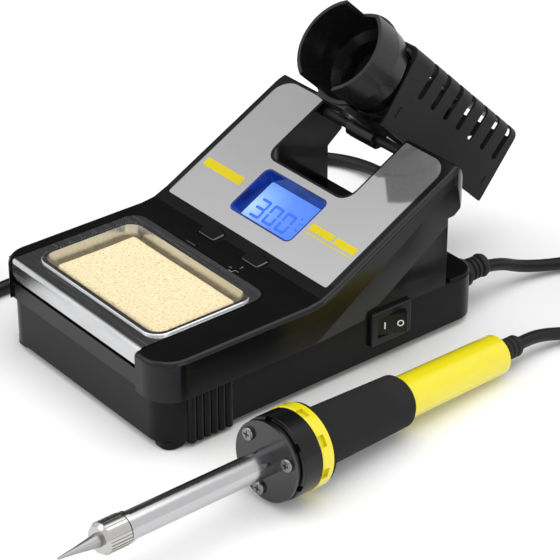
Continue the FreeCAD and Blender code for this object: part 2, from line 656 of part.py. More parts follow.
def build_funnel():
    """Moulded mouth: two wings with a gap above and below, then a ring and a neck."""
    r, w = size("funnel_r"), size("funnel_wall")
    wing, ring, neck = size("wing_len"), size("funnel_len"), size("neck_end")
    nr = size("neck_r")
    body = turned([(r - w, 0), (r, 0), (r, wing + 1.0), (r - 0.7, wing + 1.2),
                   (r - 1.3, ring - 2.4), (nr + 0.5, ring - 0.1), (nr + 0.5, neck),
                   (nr - 1.0, neck), (nr - 0.4, ring + 0.8), (r - w - 1.2, ring - 3.0),
                   (r - w - 0.7, wing + 1.2)])
    half = size("wing_gap")
    for sign in (-1, 1):
        cut = block(-half, half, 8, 30, -2, wing)
        if sign < 0:
            cut = block(-half, half, -30, -8, -2, wing)
        body = body.cut(cut)
    foot = holder_box(-9.0, 9.0, -18.2, -20.6, 13.5, 34.0)
    body = body.fuse(foot).cut(turned([(0, -1), (r - w, -1), (r - w, wing + 1.2),
                                       (r - w - 1.2, ring - 3.0), (nr - 0.4, ring + 0.8),
                                       (nr - 1.0, neck + 9), (0, neck + 9)]))
    return free_shape("holder_funnel", body.removeSplitter(), HOLDER)


def cage_slots():
    """Slots over the cage's top bends; the left ones sit half a pitch further on."""
    slots = []
    half, top = size("cage_half"), size("cage_top")
    wide, low = size("slot_wide"), size("slot_low")
    for sign, first, count in ((1, size("slot_first"), 7),
                               (-1, size("slot_first") + size("slot_pitch") / 2, 6)):
        for i in range(count):
            s = first + size("slot_pitch") * i
            x_in = sign * 6.5
            x_out = sign * (half + 4)
            flat = holder_box(min(x_in, x_out), max(x_in, x_out), top + 4, low + wide / 2,
                              s - wide / 2, s + wide / 2)
            end = Part.makeCylinder(wide / 2, 8, Vector(sign * (half - 4), -low - wide / 2, s),
                                    Vector(sign, 0, 0))
            head = Part.makeCylinder(wide / 2, 8, Vector(x_in, -top - 4, s), Vector(0, 1, 0))
            keep_out = holder_box(-half + 3, half - 3, top - 4, -30, 0, 140)
            slots.append(flat.cut(keep_out).fuse([end, head]))
    return slots


def build_cage():
    """Folded steel cover, open below, with slots over its upper bends."""
    half, top, low, t = size("cage_half"), size("cage_top"), size("cage_low"), size("plate")
    front, rear = size("cage_front"), size("cage_rear")
    outer = holder_box(-half, half, top, -low, front - 6, rear + 6)
    outer = filleted(outer, 4.0, lambda e: abs(e.tangentAt(e.FirstParameter).z) > 0.9
                     and e.CenterOfMass.y < 0)
    inner = holder_box(-half + t, half - t, top - t, -low - 5, front - 8, rear + 8)
    inner = filleted(inner, 3.0, lambda e: abs(e.tangentAt(e.FirstParameter).z) > 0.9
                     and e.CenterOfMass.y < 0)
    side = Part.makePolygon([Vector(-40, -top - 1, front - 1.6), Vector(-40, low + 1, front + 3.4),
                             Vector(-40, low + 1, rear + 1.2), Vector(-40, -top - 1, rear - 1.6),
                             Vector(-40, -top - 1, front - 1.6)])
    trim = Part.Face(side).extrude(Vector(80, 0, 0))
    trim = filleted(trim, 2.2, lambda e: abs(e.tangentAt(e.FirstParameter).x) > 0.9)
    cage = outer.cut(inner).common(trim)
    for slot in cage_slots():
        cage = cage.cut(slot)
    for s in (32.6, 102.2):
        cage = cage.cut(holder_box(-30, 30, -6.6, -11.6, s - 0.75, s + 0.75))
    return free_shape("holder_cage", cage.removeSplitter(), HOLDER)


def build_holder_plates():
    """Cross plates inside the cage; their tabs sit in its slits."""
    half, top, t = size("cage_half"), size("cage_top"), size("plate")
    inside = half - t - 0.02
    for label, s, hole, low in (("holder_front_plate", 32.6, 9.0, -13.6),
                                ("holder_rear_plate", 102.2, 6.0, -13.0)):
        plate = holder_box(-inside, inside, top - 4.5, low, s - 0.6, s + 0.6)
        tabs = holder_box(-half - 0.3, half + 0.3, -6.8, -11.4, s - 0.6, s + 0.6)
        plate = plate.fuse(tabs).cut(rod(hole, 10, (0, 0, s - 5)))
        if label == "holder_rear_plate":
            plate = plate.cut(holder_box(-6, 6, 0, -20, s - 5, s + 5))
        free_shape(label, plate.removeSplitter(), HOLDER)


def bar_in_holder():
    """Crossbar's centre in the holder's frame."""
    world = Vector(0, size("bar_y"), size("bar_z")) - Vector(0, size("rim_y"), size("rim_z"))
    return Rotation(Vector(1, 0, 0), 90 + size("tilt")).multVec(world)


def build_holder_base():
    """Base plate under the funnel and cage, with a split clip round the crossbar."""
    bar = bar_in_holder()
    half = size("cage_half") - size("plate") - 0.05
    plate = holder_box(-half, half, -14.0, -16.4, 34.6, 66.0)
    tongue = holder_box(-8.0, 8.0, -16.4, -18.2, 30.0, 60.0)
    neck = Part.makeBox(16.0, bar.y - 15.0, 7.0, Vector(-8.0, 15.0, bar.z - 3.5))
    clip = rod(4.2, 16.0, (-8.0, bar.y, bar.z), (1, 0, 0))
    base = plate.fuse([tongue, neck, clip])
    base = base.cut(rod(size("bar_r") + size("bar_fit"), 40, (-20, bar.y, bar.z), (1, 0, 0)))
    base = base.cut(Part.makeBox(40, 8.0, 2.2, Vector(-20, bar.y + 1.5, bar.z - 1.1)))
    for x in (-11.5, 11.5):
        base = base.cut(rod(1.3, 6, (x, 13, 58.0), (0, 1, 0)))
    return free_shape("holder_base", base.removeSplitter(), HOLDER)


def build_crossbar():
    bar = doc.addObject("Part::Cylinder", "holder_crossbar")
    bar.setExpression("Radius", "Sizes.bar_r")
    bar.setExpression("Height", "2 * Sizes.notch_half + 9")
    start = Vector(-size("notch_half") - 4.5, size("bar_y"), size("bar_z"))
    return keep(bar, "holder_crossbar",
                Placement(SHIFT + start, Rotation(Vector(0, 1, 0), 90)))


def build_holder_screws():
    screws = []
    for x in (-11.5, 11.5):
        head = rod(2.4, 1.4, (x, 12.55, 58.0), (0, 1, 0))
        shank = rod(1.25, 5.5, (x, 13.95, 58.0), (0, 1, 0))
        screws.append(head.fuse(shank).removeSplitter())
    return free_shape("holder_screws", Part.makeCompound(screws), HOLDER)


# ---------------------------------------------------------------- iron

def build_iron():
    """Turned pieces of the iron; heights run from the guard disc back to the cord."""
    turned_body("soldering_tip", [
        ("0", "-Sizes.tip_reach"), ("Sizes.tip_end_r", "-Sizes.tip_reach + 0.3"),
        ("Sizes.tip_step_r", "-Sizes.tip_step"), ("Sizes.tip_r", "-Sizes.nut_front - 0.6"),
        ("Sizes.tip_r", "-Sizes.nut_front + 2"), ("3.4", "-Sizes.nut_front + 2"),
        ("3.4", "-Sizes.nut_rear + 3"), ("0", "-Sizes.nut_rear + 3")], IRON)
    turned_body("heater_barrel", [
        ("Sizes.barrel_in", "-Sizes.nut_rear + 0.35"), ("5.0 + 0.9", "-Sizes.nut_rear + 0.35"),
        ("5.0 + 0.9", "-Sizes.nut_rear + 2.2"), ("Sizes.barrel_r", "-Sizes.nut_rear + 2.5"),
        ("Sizes.barrel_r", "Sizes.disc_thick + 0.02"), ("7.4", "Sizes.disc_thick + 0.02"),
        ("7.4", "Sizes.disc_thick + 1.0"), ("Sizes.barrel_in", "Sizes.disc_thick + 1.0")], IRON)
    turned_body("heating_element", [
        ("0", "-Sizes.nut_rear + 3.4"), ("Sizes.heater_r", "-Sizes.nut_rear + 3.4"),
        ("Sizes.heater_r", "-6"), ("4.6", "-6"), ("4.6", "14"), ("0", "14")], IRON)
    build_tip_nut()
    build_guard_disc()
    build_guard_ring()
    build_handle()
    turned_body("grip_sleeve", [
        ("Sizes.core_r + 0.05", "Sizes.grip_from"), ("Sizes.flange_r - 0.9", "Sizes.grip_from"),
        ("Sizes.flange_r - 0.7", "Sizes.grip_from + 1.4"),
        ("Sizes.grip_r + 0.4", "Sizes.grip_from + 3.0"), ("Sizes.grip_r", "Sizes.grip_from + 6"),
        ("Sizes.grip_end_r + 0.1", "Sizes.grip_to - 1.6"),
        ("Sizes.grip_end_r - 1.1", "Sizes.grip_to"),
        ("Sizes.core_r + 0.05", "Sizes.grip_to")], IRON)
    turned_body("iron_strain_relief", relief_outline(), IRON)
    stub = doc.addObject("Part::Cylinder", "iron_lead_stub")
    stub.setExpression("Radius", "Sizes.lead_d / 2")
    stub.setExpression("Height", "Sizes.relief_to - Sizes.handle_to + 18")
    keep(stub, "iron_lead_stub", IRON.multiply(
        Placement(Vector(0, 0, size("handle_to") - 18), Rotation())))


def relief_outline():
    """Ribbed sleeve with a bore for the lead."""
    points = [("Sizes.lead_d / 2 + 0.05", "Sizes.handle_to - 5"), ("4.4", "Sizes.handle_to - 5"),
              ("4.4", "Sizes.handle_to + 0.2")]
    for i in range(4):
        start = 0.2 + 2.8 * i
        points += [("4.5", f"Sizes.handle_to + {start + 0.6:.1f}"),
                   ("4.5", f"Sizes.handle_to + {start + 2.0:.1f}"),
                   ("3.7", f"Sizes.handle_to + {start + 2.2:.1f}"),
                   ("3.7", f"Sizes.handle_to + {start + 2.8:.1f}")]
    points += [("3.7", "Sizes.relief_to"), ("Sizes.lead_d / 2 + 0.05", "Sizes.relief_to")]
    return points


def build_tip_nut():
    """Knurled nut that clamps the tip's shoulder against the barrel."""
    front, rear, r = -size("nut_front"), -size("nut_rear"), size("nut_r")
    nut = turned([(size("tip_r") + 0.06, front), (r - 1.2, front), (r - 0.5, front + 0.9),
                  (r, front + 1.6), (r, rear - 0.2), (r - 0.4, rear), (3.46, rear),
                  (3.46, front + 1.7), (size("tip_r") + 0.06, front + 1.7)])
    for i in range(28):
        a = 2 * math.pi * i / 28
        groove = block(r - 0.35, r + 1, -0.28, 0.28, front + 1.4, rear + 1)
        groove.rotate(Vector(0, 0, 0), Vector(0, 0, 1), math.degrees(a))
        nut = nut.cut(groove)
    free_shape("tip_nut", nut, IRON)


def screw_angles():
    return [math.radians(a) for a in (100.0, 220.0, 340.0)]


def build_guard_disc():
    disc = doc.addObject("PartDesign::Body", "guard_disc")
    sketch = disc.newObject("Sketcher::SketchObject", "disc_outline")
    sketch.AttachmentSupport = [(origin_plane(disc, "XY_Plane"), "")]
    sketch.MapMode = "FlatFace"
    up = Vector(0, 0, 1)
    circles = [(0, 0, "disc_r", size("disc_r")), (0, 0, "bore", size("barrel_r") + 0.05)]
    for a in screw_angles():
        circles.append((12.2 * math.cos(a), 12.2 * math.sin(a), "hole", 1.55))
    for i, (x, y, kind, r) in enumerate(circles):
        sketch.addGeometry(Part.Circle(Vector(x, y, 0), up, r))
        index = sketch.addConstraint(Sketcher.Constraint("Radius", i, r))
        if kind == "disc_r":
            sketch.setExpression(f"Constraints[{index}]", "Sizes.disc_r")
        if kind == "bore":
            sketch.setExpression(f"Constraints[{index}]", "Sizes.barrel_r + 0.05")
    pad = disc.newObject("PartDesign::Pad", "disc_pad")
    pad.Profile = sketch
    pad.setExpression("Length", "Sizes.disc_thick")
    doc.recompute()
    keep(disc, "guard_disc", IRON)
    screws = []
    for a in screw_angles():
        x, y = 12.2 * math.cos(a), 12.2 * math.sin(a)
        head = rod(2.7, 1.5, (x, y, -1.5))
        head = filleted(head, 0.8, lambda e: abs(e.CenterOfMass.z + 1.5) < 0.01
                        and e.Length > 10)
        cross = block(x - 1.5, x + 1.5, y - 0.3, y + 0.3, -2, -0.7).fuse(
            block(x - 0.3, x + 0.3, y - 1.5, y + 1.5, -2, -0.7))
        screws.append(head.cut(cross).fuse(rod(1.45, 9.0, (x, y, 0))).removeSplitter())
    free_shape("guard_screws", Part.makeCompound(screws), IRON)


def build_guard_ring():
    """Black guard ring: a front collar with a groove and a rear band of shallow steps."""
    r, t = size("ring_r"), size("disc_thick")
    ring = turned([(7.5, t), (size("disc_r") - 0.5, t), (size("disc_r") - 0.5, t + 1.6),
                   (r - 0.1, t + 1.9), (r - 0.1, t + 3.2), (r, t + 3.4), (r, size("ring_len")),
                   (7.5, size("ring_len"))])
    for i in range(6):
        notch = block(size("disc_r") - 1.4, r + 1, -1.6, 1.6, t - 1, t + 3.0)
        notch.rotate(Vector(0, 0, 0), Vector(0, 0, 1), 60 * i + 20)
        ring = ring.cut(notch)
    for a in screw_angles():
        ring = ring.cut(rod(1.5, 12, (12.2 * math.cos(a), 12.2 * math.sin(a), 0)))
    free_shape("guard_ring", ring.removeSplitter(), IRON)


def build_handle():
    """Yellow handle: windowed flange at the front, tapered tube to the rear."""
    r, start, end = size("flange_r"), size("ring_len") + 0.05, size("ring_len") + 5.8
    core, tail, rear = size("core_r"), size("core_end_r"), size("handle_to")
    body = turned([(6.6, start), (r - 0.3, start), (r, start + 0.5), (r, end - 0.4),
                   (r - 0.4, end), (core, end), (core, size("grip_to")), (tail, rear - 1.6),
                   (tail - 1.4, rear), (4.45, rear), (4.45, rear - 6.0), (6.6, rear - 8.0)])
    for i in range(8):
        window = block(r - 1.6, r + 1, -2.3, 2.3, start - 1, start + 3.0)
        window.rotate(Vector(0, 0, 0), Vector(0, 0, 1), 45 * i + 10)
        body = body.cut(window)
    free_shape("handle", body.removeSplitter(), IRON)


# ---------------------------------------------------------------- inside the housing

def build_electronics():
    """Mains-side board under the display: heat sink, capacitor, fuse and terminals."""
    z = size("base_z") + size("wall") + 4.0
    board = block(-45, 25, 63, 133, z, z + size("board_thick"))
    for x, y in screw_points():
        board = board.cut(rod(4.7, 5, (x, y, z - 1)))
    for x, y in board_points():
        board = board.cut(rod(1.7, 5, (x, y, z - 1)))
    free_shape("main_board", board)
    top = z + size("board_thick")
    screws = [rod(2.7, 1.6, (x, y, top)).fuse(rod(0.95, 5.4, (x, y, top - 5.4)))
              for x, y in board_points()]
    free_shape("board_screws", Part.makeCompound(screws))
    fins = [block(-34 + 4 * i, -32.8 + 4 * i, 100, 118, top + 2, top + 15) for i in range(5)]
    fins.append(block(-34, -16.8, 98.8, 100.0, top, top + 15))
    free_shape("heat_sink", fins[0].fuse(fins[1:]).removeSplitter())
    free_shape("triac", block(-30.4, -20.4, 94.2, 98.8, top + 0.6, top + 12.0))
    capacitor = filleted(block(-8, 10, 96, 104, top, top + 14), 1.0, lambda e: True)
    free_shape("filter_capacitor", capacitor)
    fuse = rod(2.6, 20, (-12, 78, top + 4.0), (1, 0, 0))
    clips = [block(x, x + 4, 75.0, 81.0, top, top + 2.2) for x in (-11, 3)]
    free_shape("fuse", fuse.fuse(clips).removeSplitter())
    terminal = block(-30, -6, 120, 128, top, top + 9)
    for i in range(4):
        terminal = terminal.cut(rod(1.8, 8, (-27 + 6 * i, 124, top + 3)))
        terminal = terminal.cut(block(-29 + 6 * i, -25 + 6 * i, 126, 130, top + 1, top + 5))
    free_shape("terminal_block", terminal)
    ribbon = side_prism([(74.0, 27.1), (75.4, 27.4), (84.6, top + 4.4), (88.6, top + 4.4),
                         (88.6, top + 3.0), (83.8, top + 3.0)], -4, 8)
    free_shape("ribbon_cable", ribbon)


# ---------------------------------------------------------------- cords

LEAD_OUT = [(42.5, 150.0, 15.8), (42.5, 179.5, 15.5), (43.2, 201.5, 4.6), (53.8, 232.5, 2.75),
            (92.5, 261.9, 2.75)]
LEAD_IN = [(134.6, 216.1, 24.0), (120.5, 206.2, 10.8), (108.5, 197.2, 3.4),
           (97.0, 187.6, 2.75), (90.4, 175.6, 4.4), (87.84, 163.0, 6.97),
           (88.87, 151.09, 7.85)]
MAINS_OUT = [(-30.0, 150.0, 15.8), (-30.0, 189.0, 14.6), (-49.5, 209.5, 6.0),
             (-84.0, 210.0, 2.95), (-105.0, 189.5, 2.95), (-103.0, 145.0, 2.95),
             (-95.0, 100.0, 2.95), (-89.0, 55.0, 2.95), (-86.5, 10.0, 2.95),
             (-87.0, -27.0, 2.95)]
MAINS_IN = [(-121.0, -61.0, 25.0), (-136.0, -61.4, 15.4), (-153.0, -61.0, 8.4)]
LEAD_COIL = (112.8, 238.2)
MAINS_COIL = (-118.0, -30.0)
PLUG_AT = (-196.0, -61.0, 8.2)
PLUG_TURN = 90.0
BENDS, LENGTHS = [], []


def build_gland(label, x, cord_d, ribs, tube):
    """Ribbed bend relief clipped in the rear wall, its bore following the cord."""
    rear, bore = size("body_len"), cord_d / 2 + 0.05
    outline = [(bore, -6.0), (4.9, -6.0), (4.9, -2.35), (3.7, -2.35), (3.7, 0.05), (6.2, 0.05),
               (6.2, 1.6), (4.9, 1.9)]
    for i in range(ribs):
        start = 1.9 + 2.5 * i
        r = 5.0 - 0.12 * i
        outline += [(r, start + 0.4), (r, start + 1.7), (r - 0.9, start + 1.9),
                    (r - 0.9, start + 2.5)]
    end = 2.4 + 2.5 * ribs
    outline += [(4.9, end), (5.2, end + 1.3), (4.7, end + 2.7), (bore, end + 3.2)]
    gland = turned(outline)
    gland.Placement = Placement(Vector(x, rear, size("gland_z")), Rotation(Vector(1, 0, 0), -90))
    free_shape(label, gland.cut(tube))


def build_clamps(tubes):
    """Bars that grip each cord just inside the rear wall."""
    clamps = []
    for x, d in ((size("lead_x"), size("lead_d")), (size("mains_x"), size("mains_d"))):
        z = size("gland_z")
        bar = block(x - 8, x + 8, 146.6, 152.6, 5.2, z + 4.2)
        clamps.append(bar.cut(rod(d / 2 + 0.05, 12, (x, 144, z), (0, 1, 0))).cut(tubes))
    free_shape("cord_clamps", Part.makeCompound(clamps))


def route_tube(points, radius):
    """Tube along straight runs joined by tangent arcs."""
    pts = [Vector(*p) for p in points]
    edges, last = [], pts[0]
    for i in range(1, len(pts) - 1):
        before, after = pts[i - 1] - pts[i], pts[i + 1] - pts[i]
        turn = math.pi - before.getAngle(after)
        bend = 0.45 * min(before.Length, after.Length) / math.tan(turn / 2)
        reach = bend * math.tan(turn / 2)
        into, out = Vector(before).normalize(), Vector(after).normalize()
        start, end = pts[i] + into * reach, pts[i] + out * reach
        inward = (into + out).normalize()
        middle = pts[i] + inward * (bend / math.cos(turn / 2) - bend)
        edges.append(Part.LineSegment(last, start).toShape())
        edges.append(Part.Arc(start, middle, end).toShape())
        last = end
        BENDS.append(bend)
    edges.append(Part.LineSegment(last, pts[-1]).toShape())
    wire = Part.Wire(edges)
    section = Part.Wire([Part.makeCircle(radius, pts[0], pts[1] - pts[0])])
    tube = wire.makePipeShell([section], True, True)
    expected = wire.Length * math.pi * radius * radius
    if abs(tube.Volume - expected) > 0.02 * expected:
        raise RuntimeError("cord volume does not match its length")
    LENGTHS.append(wire.Length)
    return tube


def build_coil(label, centre, cord_d):
    """Outer form of the tied coil: a ring as thick as its stacked turns."""
    ring = doc.addObject("Part::Cut", label)
    outer = doc.addObject("Part::Cylinder", label + "_outer")
    inner = doc.addObject("Part::Cylinder", label + "_inner")
    cord = "Sizes.lead_d" if cord_d == size("lead_d") else "Sizes.mains_d"
    outer.setExpression("Radius", f"Sizes.coil_r + {cord} / 2")
    inner.setExpression("Radius", f"Sizes.coil_r - {cord} / 2")
    for cylinder in (outer, inner):
        cylinder.setExpression("Height", f"Sizes.coil_turns * {cord}")
    ring.Base, ring.Tool = outer, inner
    doc.recompute()
    keep(ring, label, Placement(SHIFT + Vector(centre[0], centre[1], 0.02), Rotation()))


def build_ties():
    """Strap round each coil's ring."""
    for label, centre, d, angle in (("lead_tie", LEAD_COIL, size("lead_d"), 40),
                                    ("mains_tie", MAINS_COIL, size("mains_d"), 160)):
        tall, r = size("coil_turns") * d, size("coil_r")
        outer = block(r - d / 2 - 1.2, r + d / 2 + 1.0, -2.5, 2.5, 0.0, tall + 1.0)
        tie = outer.cut(block(r - d / 2 - 0.3, r + d / 2 + 0.1, -3, 3, -1, tall + 0.12))
        tie.Placement = Placement(Vector(centre[0], centre[1], 0),
                                  Rotation(Vector(0, 0, 1), angle))
        free_shape(label, tie)


def beyond_coil(tube, centre, cord_d):
    """The part of a tube that lies outside a coil's ring."""
    form = rod(size("coil_r") + cord_d / 2 + 0.02, 60, (centre[0], centre[1], -5))
    return max(tube.cut(form).Solids, key=lambda solid: solid.Volume)


def build_plug(tail):
    """Moulded two-pin plug lying beside the mains coil."""
    shank = slab(-17.5, 17.5, -8.0, 8.0, 0, 9.0, 6.0)
    back = slab(-11.0, 11.0, -6.8, 6.8, 0, 9.0, 5.5)
    high = rounded_plan(-9.0, 9.0, -6.2, 6.2, [5.0] * 4)
    low = rounded_plan(-17.0, 17.0, -7.8, 7.8, [6.0] * 4)
    low.translate(Vector(0, 0, 9.0))
    high.translate(Vector(0, 0, 33.0))
    body = Part.makeLoft([low, high], True).fuse(shank).fuse(back)
    body = body.fuse(rod(5.2, 12, (0, 0, 32.5)).cut(rod(3.0, 20, (0, 0, 36.0))))
    place = Placement(Vector(*PLUG_AT), Rotation(Vector(0, 0, 1), PLUG_TURN)
                      * Rotation(Vector(1, 0, 0), 90))
    body = body.removeSplitter()
    body.Placement = place
    free_shape("mains_plug", body.cut(tail))
    pins = [filleted(rod(2.4, 19.0, (x, 0, -19.0)), 1.0,
                     lambda e: abs(e.CenterOfMass.z + 19) < 0.01 and e.Length > 10)
            for x in (-9.5, 9.5)]
    pin_set = Part.makeCompound(pins)
    pin_set.Placement = place
    free_shape("plug_pins", pin_set)


def build_cords():
    lead_d, mains_d = size("lead_d"), size("mains_d")
    lead_out = beyond_coil(route_tube(LEAD_OUT, lead_d / 2), LEAD_COIL, lead_d)
    lead_in = beyond_coil(route_tube(LEAD_IN, lead_d / 2), LEAD_COIL, lead_d)
    mains_out = beyond_coil(route_tube(MAINS_OUT, mains_d / 2), MAINS_COIL, mains_d)
    tail = beyond_coil(route_tube(MAINS_IN, mains_d / 2), MAINS_COIL, mains_d)
    build_gland("lead_gland", size("lead_x"), lead_d, 3, lead_out)
    build_gland("mains_gland", size("mains_x"), mains_d, 3, mains_out)
    build_clamps([lead_out, mains_out])
    free_shape("lead_out", lead_out)
    free_shape("lead_in", lead_in)
    free_shape("mains_cord", mains_out)
    free_shape("mains_tail", tail)
    build_coil("lead_coil", LEAD_COIL, lead_d)
    build_coil("mains_coil", MAINS_COIL, mains_d)
    build_ties()
    build_plug(tail)


# ---------------------------------------------------------------- build and export

def build_all():
    build_upper_housing()
    build_lower_housing()
    build_feet()
    build_housing_screws()
    build_front_panel()
    build_display_frame()
    build_display_stack()
    build_sponge_tray()
    build_sponge()
    build_keys()
    build_key_board()
    build_switch()
    build_rocker()
    build_funnel()
    build_cage()
    build_holder_plates()
    build_holder_base()
    build_crossbar()
    build_holder_screws()
    build_iron()
    build_electronics()
    build_cords()
    doc.recompute()


def export_all():
    os.makedirs("parts", exist_ok=True)
    for obj in doc.Objects:
        if "Invalid" in obj.State or "Error" in obj.State:
            raise RuntimeError(f"{obj.Name} did not build: {obj.State}")
    labels = [obj.Label for obj in nodes]
    if len(set(labels)) != len(labels):
        raise RuntimeError("two sub-parts share a label")
    for obj in nodes:
        shape = obj.Shape
        if shape.isNull() or not shape.isValid():
            raise RuntimeError(f"{obj.Label} has no valid shape")
        shape.exportStep(f"parts/{obj.Label}.step")
        box = shape.BoundBox
        print(f"{obj.Label:20s} solids {len(shape.Solids)} x {box.XMin:.1f}..{box.XMax:.1f} "
              f"y {box.YMin:.1f}..{box.YMax:.1f} z {box.ZMin:.1f}..{box.ZMax:.1f}")


build_all()
export_all()
print("bends", [round(b, 1) for b in BENDS], "lengths", [round(v, 1) for v in LENGTHS])
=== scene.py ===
import math

import bmesh
import bpy
from mathutils import Matrix, Vector


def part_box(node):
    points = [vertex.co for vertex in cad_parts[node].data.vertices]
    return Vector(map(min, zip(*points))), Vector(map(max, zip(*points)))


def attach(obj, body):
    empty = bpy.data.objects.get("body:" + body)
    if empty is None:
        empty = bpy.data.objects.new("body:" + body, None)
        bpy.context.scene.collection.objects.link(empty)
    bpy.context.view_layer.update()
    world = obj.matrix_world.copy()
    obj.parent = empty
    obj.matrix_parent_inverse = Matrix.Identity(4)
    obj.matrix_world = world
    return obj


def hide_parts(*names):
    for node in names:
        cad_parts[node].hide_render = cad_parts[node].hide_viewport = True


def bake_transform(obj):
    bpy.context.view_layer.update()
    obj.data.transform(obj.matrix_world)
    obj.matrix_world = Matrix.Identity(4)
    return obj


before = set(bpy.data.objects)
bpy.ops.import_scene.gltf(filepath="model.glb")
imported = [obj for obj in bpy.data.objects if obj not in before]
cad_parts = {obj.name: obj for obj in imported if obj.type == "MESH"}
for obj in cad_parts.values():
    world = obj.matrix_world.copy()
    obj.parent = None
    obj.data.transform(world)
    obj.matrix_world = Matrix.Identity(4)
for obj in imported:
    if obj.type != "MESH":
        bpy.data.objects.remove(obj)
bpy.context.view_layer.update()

scene = bpy.context.scene
SHIFT = Vector((-30.44, -65.61, 0.0))          # station frame to row frame, mm


def at(x, y, z):
    """A station point in mm as a row-frame vector in metres."""
    return (Vector((x, y, z)) + SHIFT) / 1000


# ---------------------------------------------------------------- camera

CAMERA_DOWN, CAMERA_TURN = 30.43, 51.02        # degrees below level, and round from the front

cam_data = bpy.data.cameras.new("camera")
cam_data.lens, cam_data.sensor_width = 147.9, 36.0
cam_data.clip_start, cam_data.clip_end = 0.05, 20.0
camera = bpy.data.objects.new("camera", cam_data)
camera.location = (0.61116, -0.48531, 0.5013)
camera.rotation_euler = (math.radians(90 - CAMERA_DOWN), 0, math.radians(CAMERA_TURN))
scene.collection.objects.link(camera)
scene.camera = camera
scene.view_settings.view_transform = "Standard"


# ---------------------------------------------------------------- mesh and curve helpers

def link(obj, material=None):
    scene.collection.objects.link(obj)
    if material is not None:
        obj.data.materials.clear()
        obj.data.materials.append(material)
    return obj


def mesh_object(name, verts, faces, material=None, smooth=False):
    mesh = bpy.data.meshes.new(name)
    mesh.from_pydata([tuple(v) for v in verts], [], faces)
    mesh.validate()
    if smooth:
        mesh.polygons.foreach_set("use_smooth", [True] * len(mesh.polygons))
    mesh.update()
    return link(bpy.data.objects.new(name, mesh), material)


def spline_line(points):
    """Points along a NURBS spline that has the route's points as its control points."""
    curve = bpy.data.curves.new("route", "CURVE")
    curve.dimensions = "3D"
    curve.resolution_u = 10
    spline = curve.splines.new("NURBS")
    spline.points.add(len(points) - 1)
    for point, place in zip(spline.points, points):
        point.co = (*place, 1.0)
    spline.order_u = 3
    spline.use_endpoint_u = True
    obj = link(bpy.data.objects.new("route", curve))
    graph = bpy.context.evaluated_depsgraph_get()
    mesh = bpy.data.meshes.new_from_object(obj.evaluated_get(graph))
    line = [v.co.copy() for v in mesh.vertices]
    bpy.data.meshes.remove(mesh)
    bpy.data.objects.remove(obj)
    return line


def tube(name, line, radius, sides=20):
    """Mesh tube round a line, with rings turned as little as possible."""
    verts, faces = [], []
    normal = None
    for i, p in enumerate(line):
        ahead = (line[min(i + 1, len(line) - 1)] - line[max(i - 1, 0)]).normalized()
        if normal is None:
            normal = ahead.orthogonal().normalized()
        normal = (normal - ahead * normal.dot(ahead)).normalized()
        side = ahead.cross(normal)
        for k in range(sides):
            a = 2 * math.pi * k / sides
            verts.append(p + (normal * math.cos(a) + side * math.sin(a)) * radius)
    for i in range(len(line) - 1):
        for k in range(sides):
            a, b = i * sides + k, i * sides + (k + 1) % sides
            faces.append((a, b, b + sides, a + sides))
    faces.append(tuple(reversed(range(sides))))
    faces.append(tuple(range((len(line) - 1) * sides, len(line) * sides)))
    return mesh_object(name, verts, faces, smooth=True)


# ---------------------------------------------------------------- cords

LEAD_D, MAINS_D = 5.4, 5.8
COIL_R, PER_TURN = 31.0, 14                    # turn radius, and control points per turn
LEAD_COIL, MAINS_COIL = (112.8, 238.2), (-118.0, -30.0)        # centres of the two coils
LEAD_OUT = [(42.5, 155.0, 15.8), (42.5, 179.5, 15.5), (43.2, 201.5, 4.6), (53.8, 232.5, 2.75)]
LEAD_IN = [(120.5, 206.2, 10.8), (108.5, 197.2, 3.4), (97.0, 187.6, 2.75),
           (90.4, 175.6, 4.4), (87.84, 163.0, 6.97), (88.87, 151.09, 7.85),
           (89.5, 144.0, 8.38)]
MAINS_OUT = [(-30.0, 155.0, 15.8), (-30.0, 189.0, 14.6), (-49.5, 209.5, 6.0),
             (-84.0, 210.0, 2.95), (-105.0, 189.5, 2.95), (-103.0, 145.0, 2.95),
             (-95.0, 100.0, 2.95), (-89.0, 55.0, 2.95), (-86.5, 10.0, 2.95)]
MAINS_IN = [(-136.0, -61.4, 15.4), (-153.0, -61.0, 8.4), (-160.0, -61.0, 8.2)]


def coil_points(centre, d, start, turns, seed):
    """Control points of a coil wound clockwise from the floor up, a diameter per turn."""
    count = round(PER_TURN * turns)
    out = []
    for i in range(count + 1):
        t = turns * i / count
        angle = math.radians(start) - 2 * math.pi * t
        wander = 0.7 * math.sin(1.7 * t * 2 * math.pi / 3 + seed) * min(1, t, turns - t)
        r = (COIL_R + wander) / math.cos(math.pi / PER_TURN) ** 0.5
        out.append((centre[0] + r * math.cos(angle), centre[1] + r * math.sin(angle),
                    d / 2 + 0.05 + d * t))
    return out


lead_route = LEAD_OUT + coil_points(LEAD_COIL, LEAD_D, 125.0, 4.485, 0.4) + LEAD_IN
mains_route = MAINS_OUT + coil_points(MAINS_COIL, MAINS_D, 0.0, 4.25, 1.1) + MAINS_IN

lead_line = spline_line([at(*p) for p in lead_route])
lead = tube("iron_lead", lead_line, LEAD_D / 2000)
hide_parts("lead_out", "lead_coil", "lead_in")
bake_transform(lead)

mains_line = spline_line([at(*p) for p in mains_route])
mains = tube("mains_lead", mains_line, MAINS_D / 2000)
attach(mains, "root")
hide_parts("mains_cord", "mains_coil", "mains_tail")


# ---------------------------------------------------------------- materials

